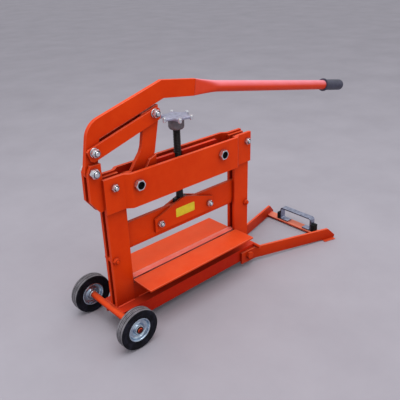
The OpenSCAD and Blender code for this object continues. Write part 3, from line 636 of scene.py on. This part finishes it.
def bolt_and_nut(shape, x, z, size, seats):
    """A bolt through the machine's width, its nut in front and its head at the back.

    size holds shank, flats, head height and nut height; seats are the places of nut and head across it.
    """
    shank, flats, head_height, nut_height = size
    front_seat, back_seat = seats
    front = facing(x, z, -front_seat, True)
    lock_nut(shape, front, flats, nut_height, shank)
    far_end = -front_seat - back_seat - SHANK_INTO
    shape.turned(front, [(shank / 2, SHANK_INTO), (shank / 2, far_end)], ROD_SIDES)
    hex_head(shape, facing(x, z, back_seat, False), flats, head_height)


LINK_PIVOTS = [(-79, 564), (121, 624.5)]
# places along and up the machine, size and seats as above, finish of the ring in the nut
BOLT_GROUPS = {
    "column_bolts": ([(-53, 231), (487, 231)], (12, 18, 7.5, 10), (17, 17), PAINT),
    "beam_bolts": ([(-38, 457.5), (481, 457.5)], (12, 19, 8, 12), (27, 27), NYLON),
    "lever_bolt": ([(-89, 510.5)], (16, 24, 10, 16), (17, 17), NYLON),
    "link_bolts": (LINK_PIVOTS, (14, 21, 5, 14), (17.5, 15), NYLON),
    "cheek_bolts": ([(117, 285.5), (317, 285.5)], (12, 19, 8, 12), (14, 14), NYLON),
}
for node_name, (places, size, seats, ring_finish) in BOLT_GROUPS.items():
    bolts = Shape()
    for x, z in places:
        bolt_and_nut(bolts, x, z, size, seats)
    slot = slot_of[node_name]
    finishes = [SLOT_MATERIALS[slot], ring_finish]
    build(node_name + "_cut", bolts, finishes, body_of[node_name], [node_name])


def fork_bolt_shape():
    """The fork's pivot bolts: heads outside, nuts inside the channel."""
    shank, flats, height, bore_sunk = 16, 24, 10, 0.8
    inner, outer, pivot_x, pivot_z = 42.5, 58.3, 466, 44.5
    bolts = Shape()
    for front in (True, False):
        sign = -1 if front else 1
        head = facing(pivot_x, pivot_z, sign * outer, front)
        nut = facing(pivot_x, pivot_z, sign * inner, not front)
        hex_head(bolts, head, flats, height)
        far_end = inner - outer - SHANK_INTO
        bolts.turned(head, [(shank / 2, SHANK_INTO), (shank / 2, far_end)], ROD_SIDES)
        bolts.skin([
            round_ring(nut, NUT_SEAT * flats, 0.0),
            hex_ring(nut, flats, NUT_EDGE, 1),
            hex_ring(nut, flats, height, -1),
            round_ring(nut, NUT_SEAT * flats, height),
            round_ring(nut, shank / 2, height - bore_sunk),
        ])
        bolt_end(bolts, nut, height, shank)
    return bolts


build("fork_bolts_cut", fork_bolt_shape(), [PAINT], "frame", ["fork_bolts"])

PIVOT_XS = (31, 354)
PIVOT_Z = 449
PIVOT_R = 10.0


def pivot_nut_shape():
    """The four large pivot nuts, open in the middle, with a threaded bore that is dark with grease."""
    flats, height, beam_out = 28, 13, 41
    top_edge, mouth_wider, bore_foot = 0.455, 1.4, 5.0
    depth, pitch, thread_below_top, thread_foot = 0.9, -2.5, 1.2, 5.5
    nuts = Shape()
    for x in PIVOT_XS:
        for front in (True, False):
            place = facing(x, PIVOT_Z, (-1 if front else 1) * beam_out, front)
            rings = [
                round_ring(place, PIVOT_R, 0.0),
                round_ring(place, NUT_SEAT * flats, 0.0),
                hex_ring(place, flats, NUT_EDGE, 1),
                hex_ring(place, flats, height, -1),
                round_ring(place, top_edge * flats, height),
                round_ring(place, PIVOT_R + mouth_wider, height),
            ]
            bore_face = len(nuts.faces) + (len(rings) - 1) * SIDES
            thread_top = height - thread_below_top
            rings += thread_rings(place, PIVOT_R + depth, depth, pitch, thread_top, thread_foot, SIDES)
            rings.append(round_ring(place, PIVOT_R, bore_foot))
            nuts.skin(rings, loop=True)
            nuts.indices[bore_face:] = [1] * (len(nuts.faces) - bore_face)
    return nuts


def pivot_pin_shape():
    """The two main pivots, chamfered and dark with grease."""
    half, plain_half, end_r = 47.5, 46.1, 8.4
    profile = [(end_r, -half), (PIVOT_R, -plain_half), (PIVOT_R, plain_half), (end_r, half)]
    pins = Shape()
    for x in PIVOT_XS:
        pins.turned(facing(x, PIVOT_Z, 0, True), profile)
    return pins


build("pivot_nuts_cut", pivot_nut_shape(), [ZINC, GREASE], "frame", ["pivot_nuts"])
build("pivot_pins_cut", pivot_pin_shape(), [GREASE], "frame", ["pivot_pins"])


def washer_shape():
    """The two washers under the link's nuts, with rolled edges."""
    seat = 15
    profile = [(7.25, 0.0), (12.1, 0.0), (12.5, 0.5), (12.5, 1.9), (11.9, 2.5), (7.25, 2.5)]
    washers = Shape()
    for x, z in LINK_PIVOTS:
        washers.turned(facing(x, z, -seat, True), profile, loop=True)
    return washers


build("link_washers_cut", washer_shape(), [ZINC], "link", ["link_washers"])

# Wheels

AXLE_X = -71.0
AXLE_Z = 62.5
WHEEL_IN = 105.0

# tyre profile from the rim to the tread's middle: radius, distance from the wheel's inner face
TYRE_SIDE = [
    (36.0, 3.2), (37.5, 2.4), (40.0, 2.5), (42.0, 2.3), (43.0, 2.7), (50.0, 1.4), (51.0, 0.7), (53.0, 0.5),
    (54.0, 1.0), (56.0, 0.8), (58.3, 0.5), (60.3, 1.4), (61.6, 2.8), (62.2, 4.6),
]
TREAD_LEAST = 61.0
GROOVE_R = 61.4
TREAD_R = 62.5
TREAD_HALF = [
    (TREAD_R, 6.0), (TREAD_R, 9.6), (GROOVE_R, 9.9), (GROOVE_R, 11.1), (TREAD_R, 11.4), (TREAD_R, 15.6),
    (GROOVE_R, 15.8),
]
WHEEL_W = 32.0


def mirrored(profile):
    """The profile, then its mirror image across the wheel's middle."""
    return profile + [(r, WHEEL_W - h) for r, h in reversed(profile)]


def tyre_shape(place):
    """A tyre with a raised ring on its wall and three grooves round its tread, dusty between the grooves."""
    profile = mirrored(TYRE_SIDE + TREAD_HALF)
    shape = Shape()
    shape.turned(place, profile, WHEEL_SIDES, loop=True)
    for row in range(len(profile)):
        low = min(profile[row][0], profile[(row + 1) % len(profile)][0])
        if low > TREAD_LEAST and low != GROOVE_R:
            first = row * WHEEL_SIDES
            shape.indices[first:first + WHEEL_SIDES] = [1] * WHEEL_SIDES
    return shape


# half of the axle's profile: radius, distance from its middle
AXLE_HALF = [(10.0, 103.4), (9.4, 104.0), (7.5, 104.6), (7.5, 135.8), (6.3, 137.0)]


def axle_shape():
    """The axle with its thinner ends, whose end faces are painted nearly black as painted shade."""
    profile = [(r, -h) for r, h in reversed(AXLE_HALF)] + AXLE_HALF
    shape = Shape()
    shape.turned(facing(AXLE_X, AXLE_Z, 0, True), profile)
    shape.indices[-2:] = [1, 1]
    return shape


# the axle in the lit copy of the paint, its end faces in painted shade
build("axle_turned", axle_shape(), [LIT_PAINT, END_SHADE_PAINT], "frame", ["axle"])

# rim profile, outer face first: radius, distance from the wheel's inner face
RIM_PROFILE = [
    (36.0, 4.0), (36.0, 28.0), (36.2, 29.4), (35.4, 30.0), (34.0, 30.0), (32.9, 29.2), (32.2, 26.8),
    (31.2, 22.4), (29.4, 19.4), (26.6, 17.8), (23.0, 17.4), (19.6, 17.8), (17.0, 19.2), (15.2, 21.6),
    (14.2, 24.0), (13.0, 24.6), (13.0, 7.4), (14.2, 8.0), (15.2, 9.6), (17.0, 11.6), (19.6, 12.8),
    (23.0, 13.2), (26.6, 12.8), (29.4, 11.4), (31.2, 9.0), (32.2, 5.2), (32.9, 2.8), (34.0, 2.0),
    (35.4, 2.0), (36.2, 2.6),
]
HUB_PROFILE = [
    (7.55, -0.5), (12.2, -0.5), (13.0, 0.3), (13.0, 28.2), (12.2, 29.0), (9.6, 29.0), (8.8, 28.2),
    (7.55, 27.6),
]

for side, front in (("front", True), ("rear", False)):
    place = facing(AXLE_X, AXLE_Z, (-1 if front else 1) * WHEEL_IN, front)
    body = "wheel_" + side
    tyre, rim, hub = "tyre_" + side, "rim_" + side, "hub_" + side
    build(tyre + "_cut", tyre_shape(place), [TYRE, TREAD], body, [tyre], sharp=40.0)
    rim_shape = Shape()
    rim_shape.turned(place, RIM_PROFILE, WHEEL_SIDES, loop=True)
    build(rim + "_pressed", rim_shape, [RIM], body, [rim], sharp=60.0)
    hub_shape = Shape()
    hub_shape.turned(place, HUB_PROFILE, loop=True)
    build(hub + "_turned", hub_shape, [ZINC], body, [hub])

# Spindle and handwheel

SPINDLE_X = 208.0
SPINDLE_R = 11.0
# radius and height above the floor, below and above the thread
SPINDLE_FOOT = [
    (4.2, 328.9), (5.0, 329.7), (5.0, 331.5), (3.5, 331.5), (3.5, 336.5), (5.0, 336.5), (5.0, 340.5),
    (9.8, 340.5), (SPINDLE_R, 341.7), (SPINDLE_R, 380.0),
]
SPINDLE_HEAD = [(SPINDLE_R, 550.0), (SPINDLE_R, 593.1), (9.6, 594.5)]


def spindle_shape():
    """The spindle: a thin journal with its groove, a coarse thread, a plain head."""
    depth, pitch, foot, top, steps = 1.3, 5.0, 380.5, 549.5, 8
    place = axis_frame(at(SPINDLE_X, 0, 0), Z_AXIS, X_AXIS)
    rings = [round_ring(place, r, z, ROD_SIDES) for r, z in SPINDLE_FOOT]
    rings += thread_rings(place, SPINDLE_R, depth, pitch, foot, top, ROD_SIDES, steps)
    rings += [round_ring(place, r, z, ROD_SIDES) for r, z in SPINDLE_HEAD]
    shape = Shape()
    shape.skin(rings)
    return shape


build("spindle_threaded", spindle_shape(), [BLACK], "screw", ["spindle"], sharp=24.0)

STAR_Z = 589
STAR_TURN = math.radians(4.0)
STAR_REACH = 46.0
STAR_SIDES = 144
# the plate's edge as inset and height, then its dished middle as radius and height
STAR_EDGE = [(2.2, 0.0), (0.7, 0.7), (0.0, 2.2), (0.0, 5.8), (0.7, 7.3), (2.2, 8.0)]
STAR_MIDDLE = [(24.0, 8.0), (21.5, 7.3), (13.0, 7.3), (12.0, 7.9), (4.0, 7.9)]
STUD = [
    (2.1, -3.5), (4.1, -2.9), (5.2, -1.2), (5.5, 1.2), (5.5, 6.8), (5.2, 9.2), (4.1, 10.9), (2.1, 11.5),
]


def star_radius(angle):
    """Outline of the handwheel's plate: six points with round hollows between them."""
    sixth = math.pi / 3
    off = angle % sixth - sixth / 2
    hollow_at, hollow_r = 63.48, 28.52
    side = hollow_at * math.sin(off)
    if abs(side) >= hollow_r:
        return STAR_REACH
    return min(STAR_REACH, hollow_at * math.cos(off) - math.sqrt(hollow_r ** 2 - side ** 2))


def star_shape():
    """The handwheel: a cast star with a stud with round ends at each point."""
    turned_x = Vector((math.cos(STAR_TURN), math.sin(STAR_TURN), 0.0))
    place = axis_frame(at(SPINDLE_X, 0, STAR_Z), Z_AXIS, turned_x)
    angles = circle(STAR_SIDES)

    def outline(inset, height):
        radii = [star_radius(a) - inset for a in angles]
        return [local(place, r * math.cos(a), r * math.sin(a), height) for r, a in zip(radii, angles)]

    rings = [round_ring(place, SPINDLE_R, 0.0, STAR_SIDES)]
    rings += [outline(inset, height) for inset, height in STAR_EDGE]
    rings += [round_ring(place, r, height, STAR_SIDES) for r, height in STAR_MIDDLE]
    star = Shape()
    star.skin(rings)
    star.index = 1
    reach = STAR_REACH / MM_PER_M
    for k in range(6):
        a = k * math.pi / 3
        tip = place @ Matrix.Translation(Vector((reach * math.cos(a), reach * math.sin(a), 0.0)))
        star.turned(tip, STUD, THIN_SIDES)
    return star


build("handwheel_star_cast", star_shape(), [STAR, ZINC], "screw", ["handwheel_star"], sharp=40.0)

HAND_HUB_Z = 557
HAND_HUB_SIDES = 64
HAND_HUB = [
    (SPINDLE_R, 0.0), (17.0, 0.0), (19.6, 0.9), (22.0, 3.4), (23.2, 6.6), (23.5, 10.0), (23.5, 30.4),
    (22.4, 32.0), (SPINDLE_R, 32.0),
]
hand_hub = Shape()
hand_hub_place = axis_frame(at(SPINDLE_X, 0, HAND_HUB_Z), Z_AXIS, X_AXIS)
hand_hub.turned(hand_hub_place, HAND_HUB, HAND_HUB_SIDES, loop=True)
build("handwheel_hub_cast", hand_hub, [CAST], "screw", ["handwheel_hub"], sharp=40.0)

# Handle

LEVER_END = at(280.5, 0, 667.5)
FALL = math.radians(9.5)
HANDLE_DIRECTION = Vector((math.cos(FALL), 0.0, -math.sin(FALL)))
# along the handle: local Z is the handle's axis, local X points down, local Y to the back
HANDLE = axis_frame(LEVER_END, HANDLE_DIRECTION, Vector((-math.sin(FALL), 0.0, -math.cos(FALL))))
TUBE_R = 16.85
# the flattened end: length, half height, half width, drop, curve of its opening, squareness, sections
FLAT_LEN = 100.0
FLAT_TALL = 24.5
FLAT_WIDE = 6.0
FLAT_DROP = 2.0
FLAT_OPENING = 1.7
FLAT_SQUARE = 10.0
FLAT_STEPS = 16
TUBE_END = 655.0


def tube_section(along):
    """The tube's outline at a length along it: a flattened end that opens to the full round."""
    t = min(1.0, max(0.0, along / FLAT_LEN))
    narrowing = 1.0 - (1.0 - t) ** FLAT_OPENING
    tall = FLAT_TALL + (TUBE_R - FLAT_TALL) * narrowing
    drop = FLAT_DROP * (1.0 - narrowing)
    wide = FLAT_WIDE + (TUBE_R - FLAT_WIDE) * t
    power = 2.0 / (2.0 + FLAT_SQUARE * (1.0 - t) ** 2)
    ring = []
    for k in range(SIDES):
        a = 2 * math.pi * (k + 0.5) / SIDES
        c, s = math.cos(a), math.sin(a)
        x = math.copysign(abs(c) ** power, c) * tall + drop
        y = math.copysign(abs(s) ** power, s) * wide
        ring.append(local(HANDLE, x, y, along))
    return ring


# lengths along the tube at which a section is drawn
stations = [0.0, 2.0]
stations += [FLAT_LEN * k / FLAT_STEPS for k in range(1, FLAT_STEPS + 1)]
stations += [140.0, 300.0, 480.0, TUBE_END, 740.0]
handle_tube = Shape()
handle_tube.skin([tube_section(s) for s in stations])
build("handle_tube_drawn", handle_tube, [TUBE_PAINT], "lever", ["handle_tube"], sharp=40.0)

GRIP_SIDES = 72
# radius and distance from the grip's start; the sleeve's rows have the depth of the flutes between them
GRIP_GUARD = [(16.9, 0.4), (20.5, 0.0), (22.6, 0.6), (23.5, 2.4), (23.5, 4.6), (22.6, 6.4), (20.2, 7.0)]
GRIP_SLEEVE = [(19.9, 0.0, 9.0), (20.0, 0.5, 12.0), (20.0, 0.5, 102.0), (20.0, 0.0, 105.0)]
GRIP_END = [
    (20.0, 107.0), (19.5, 110.4), (18.0, 113.4), (15.6, 115.6), (12.0, 116.8), (4.0, 117.0), (3.0, 115.0),
]


def grip_shape():
    """The grip: a guard ring, a finely fluted sleeve and a rounded end with a vent hole."""
    def plain(radius, height):
        return round_ring(HANDLE, radius, TUBE_END + height, GRIP_SIDES)

    def fluted(radius, depth, height):
        ring = []
        for k, a in enumerate(circle(GRIP_SIDES)):
            r = radius - depth * (k % 3 == 0)
            ring.append(local(HANDLE, r * math.cos(a), r * math.sin(a), TUBE_END + height))
        return ring

    rings = [plain(r, h) for r, h in GRIP_GUARD]
    rings += [fluted(r, depth, h) for r, depth, h in GRIP_SLEEVE]
    rings += [plain(r, h) for r, h in GRIP_END]
    shape = Shape()
    shape.skin(rings)
    return shape


build("grip_moulded", grip_shape(), [GRIP], "lever", ["grip"], sharp=28.0)

# Bow on the cross bar


def bow_path():
    """The bow's middle line, across the machine and up, with its four corners bent round."""
    half, top, foot, reach, bend = 73.25, 63.25, 14.75, 36.2, 8.0
    bend_steps = 8
    corners = [(-reach, foot), (-half, foot), (-half, top), (half, top), (half, foot), (reach, foot)]
    path = [Vector(corners[0])]
    for before, corner, after in zip(corners, corners[1:], corners[2:]):
        p, a, b = Vector(corner), Vector(before), Vector(after)
        into = (p - a).normalized()
        out = (b - p).normalized()
        start = p - into * bend
        for k in range(bend_steps + 1):
            t = math.pi / 2 * k / bend_steps
            path.append(start + into * bend * math.sin(t) + out * bend * (1 - math.cos(t)))
    path.append(Vector(corners[-1]))
    return path


def bow_shape():
    """A flat strip bent twice on each side, drawn as sections along its middle line."""
    thick, x0, x1, edge = 2.75, 803.9, 829.8, 0.8
    section = [
        (x0 + edge, -thick), (x1 - edge, -thick), (x1, -thick + edge), (x1, thick - edge),
        (x1 - edge, thick), (x0 + edge, thick), (x0, thick - edge), (x0, -thick + edge),
    ]
    strip_edges = (2, 6)
    path = bow_path()
    rings = []
    for k, p in enumerate(path):
        run = (path[min(k + 1, len(path) - 1)] - path[max(k - 1, 0)]).normalized()
        side = Vector((-run.y, run.x))
        rings.append([at(x, p.x + side.x * off, p.y + side.y * off) for x, off in section])
    shape = Shape()
    shape.skin(rings)
    for row in range(len(rings) - 1):
        for k in strip_edges:
            shape.indices[row * len(section) + k] = 1
    return shape


build("bow_handle_bent", bow_shape(), [BOW, BOW_EDGE], "fork", ["bow_handle"], sharp=40.0)

# Weld seams

WELD_HARD_FROM = 60.0
BEAD_SIDES = 10
BEAD_STEP = 1.3
# a bead's width at its very end, what it gains from there, and over which length
TAPER_LEAST = 0.45
TAPER_GAIN = 0.55
TAPER_LEN = 3.0
# its usual width, then height and length of the coarse ripples, height and pace of the fine ones
BEAD_WIDTH = 0.9
COARSE_HEIGHT = 0.1
COARSE_LEN = 4.4
FINE_HEIGHT = 0.05
FINE_PACE = 0.9


def bead(shape, start, end, radius):
    """A rippled weld bead between two points, in machine millimetres, thinner at its ends."""
    a, b = at(*start), at(*end)
    run = b - a
    length = run.length * MM_PER_M
    rows = max(4, round(length / BEAD_STEP))
    along = run.normalized()
    side = along.orthogonal().normalized()
    other = along.cross(side)
    angles = circle(BEAD_SIDES)
    rings = []
    for row in range(rows + 1):
        s = row / rows
        taper = min(1.0, TAPER_LEAST + TAPER_GAIN * min(s, 1 - s) * length / TAPER_LEN)
        coarse = COARSE_HEIGHT * math.sin(2 * math.pi * s * length / COARSE_LEN)
        fine = FINE_HEIGHT * math.sin(s * length * FINE_PACE)
        r = radius * taper * (BEAD_WIDTH + coarse + fine) / MM_PER_M
        centre = a + run * s
        rings.append([centre + side * r * math.cos(t) + other * r * math.sin(t) for t in angles])
    shape.skin(rings)


BASE_TOP = 73
# where each column begins and ends along the machine
COLUMN_SPANS = ((-65, 0), (434, 499))
COLUMN_HALF = 17
CARRIER_HALF = 15
BASE_HALF = 49.5


def frame_welds():
    """Seams of the columns, the carrier and the axle on the base."""
    short = 2
    stitch, stitch_step, stitch_from, stitch_to = 52, 84, 14, 420
    axle_seam_x, axle_seam_half, axle_seam_z, axle_seam_r = -64.6, 48, 71, 10.3
    seams = Shape()
    for x0, x1 in COLUMN_SPANS:
        for y in (-COLUMN_HALF, COLUMN_HALF):
            bead(seams, (x0 + short, y, BASE_TOP), (x1 - short, y, BASE_TOP), radius=3.2)
    for x in (COLUMN_SPANS[0][0], COLUMN_SPANS[1][1]):
        for y0, y1 in ((-16, -8), (8, 16)):
            bead(seams, (x, y0, BASE_TOP), (x, y1, BASE_TOP), radius=2.6)
    for y in (-CARRIER_HALF, CARRIER_HALF):
        for x0 in range(stitch_from, stitch_to, stitch_step):
            bead(seams, (x0, y, BASE_TOP), (x0 + stitch, y, BASE_TOP), radius=2.8)
    near, far = [(axle_seam_x, y, axle_seam_z) for y in (-axle_seam_half, axle_seam_half)]
    bead(seams, near, far, radius=2.4)
    for y in (-BASE_HALF, BASE_HALF):
        arc = [
            (AXLE_X + axle_seam_r * math.cos(a), y, AXLE_Z + axle_seam_r * math.sin(a))
            for a in (math.pi / 12 * k for k in range(-3, 4))
        ]
        for p, q in zip(arc, arc[1:]):
            bead(seams, p, q, radius=1.8)
    return seams


build("frame_welds", frame_welds(), [WELD], "frame", sharp=WELD_HARD_FROM)

FORK_BEND_X = 500.0
FORK_BEND_Y = 49.9
FORK_SPLAY = math.tan(math.radians(16.0))


def fork_inner(x):
    """Distance of an arm's inner face from the centre plane, past the bend."""
    return FORK_BEND_Y + (x - FORK_BEND_X) * FORK_SPLAY


def fork_welds():
    """Seams of the cross bar on the arms."""
    x0, x1, top = 800, 834, 12
    seams = Shape()
    for sign in (-1, 1):
        bead(seams, (x0, sign * fork_inner(x0), top), (x1, sign * fork_inner(x1), top), radius=2.6)
    return seams


build("fork_welds", fork_welds(), [WELD], "fork", sharp=WELD_HARD_FROM)


def lever_welds():
    """The seam where the flattened tube meets the lever's band, on both sides."""
    above, below, band_half = 0.0215, 0.0255, 6
    top = HANDLE @ Vector((-above, 0.0, 0.0))
    low = HANDLE @ Vector((below, 0.0, 0.0))
    seams = Shape()
    for y in (-band_half, band_half):
        start, end = [(p.x * MM_PER_M + ORIGIN_X, y, p.z * MM_PER_M) for p in (top, low)]
        bead(seams, start, end, radius=1.2)
    return seams


build("lever_welds", lever_welds(), [WELD], "lever", sharp=WELD_HARD_FROM)

# Bare label plate


def label_shape():
    """A plain rounded plate on the front cheek."""
    half_x, half_z, corner, thick = 38.0, 15.0, 4.0, 0.4
    middle_x, middle_z, face_y = SPINDLE_X + 9, 297, -14.0
    sunk, edge_from, edge_scale = 0.05, 0.6, 0.985
    outline = []
    for sx, sz, first in ((1, 1, 0), (-1, 1, 90), (-1, -1, 180), (1, -1, 270)):
        for k in range(7):
            a = math.radians(first + 15 * k)
            x = sx * (half_x - corner) + corner * math.cos(a)
            z = sz * (half_z - corner) + corner * math.sin(a)
            outline.append((x, z))

    def ring(scale, y):
        return [at(middle_x + x * scale, y, middle_z + z * scale) for x, z in outline]

    shape = Shape()
    shape.skin([
        ring(1.0, face_y + sunk), ring(1.0, face_y - thick * edge_from), ring(edge_scale, face_y - thick),
    ])
    return shape


build("bare_plate", label_shape(), [LABEL], "blade")

# Floor, light and camera


def floor():
    """A plain pale floor, wide enough for every view."""
    bpy.ops.mesh.primitive_plane_add(size=80.0, location=(0.0, 0.0, 0.0))
    ground = bpy.context.object
    ground.name = "floor"
    n = Nodes("pale_floor")
    patches = n.noise(scale=2.5, detail=6.0, rough=0.6)
    tone = n.ramp(patches, 0.3, linear(162, 157, 166), 0.7, linear(172, 167, 176))
    n.link(tone, n.shader.inputs["Base Color"])
    n.shader.inputs["Roughness"].default_value = 0.9
    ground.data.materials.append(n.material)


def area_light(name, place, target, size, power):
    data = bpy.data.lights.new(name, "AREA")
    data.size = size
    data.energy = power
    lamp = bpy.data.objects.new(name, data)
    lamp.location = place
    lamp.rotation_euler = (Vector(target) - Vector(place)).to_track_quat("-Z", "Y").to_euler()
    bpy.context.scene.collection.objects.link(lamp)


def lighting():
    """An even, slightly cool dome, a wide lamp overhead and a weak one in front."""
    world = bpy.data.worlds.new("studio")
    world.use_nodes = True
    background = world.node_tree.nodes["Background"]
    background.inputs["Color"].default_value = (0.95, 0.97, 1.0, 1.0)
    background.inputs["Strength"].default_value = 0.75
    bpy.context.scene.world = world
    area_light("top", place=(-0.5, -0.6, 3.2), target=(0.0, 0.0, 0.2), size=2.6, power=58.0)
    area_light("front", place=(-1.5, -2.3, 2.6), target=(0.0, 0.0, 0.3), size=1.8, power=3.0)


def camera():
    """The photo's camera, solved from its straight edges; its frame is square."""
    right = Vector((0.7334, -0.6793, -0.0271))
    down = Vector((-0.3092, -0.2977, -0.9032))
    ahead = Vector((0.6055, 0.6708, -0.4284))
    eye_point = at(-711.8, -1111.7, 1008.9)
    focal_pixels = 515.74
    image_pixels = 400
    data = bpy.data.cameras.new("photo_view")
    data.sensor_fit = "HORIZONTAL"
    data.sensor_width = 36.0
    data.lens = focal_pixels * data.sensor_width / image_pixels
    data.clip_end = 60.0
    eye = bpy.data.objects.new("photo_view", data)
    axes = Matrix((right, -down, -ahead)).transposed()
    eye.matrix_world = Matrix.Translation(eye_point) @ axes.to_4x4()
    bpy.context.scene.collection.objects.link(eye)
    bpy.context.scene.camera = eye


floor()
lighting()
camera()
bpy.context.scene.view_settings.view_transform = "Standard"
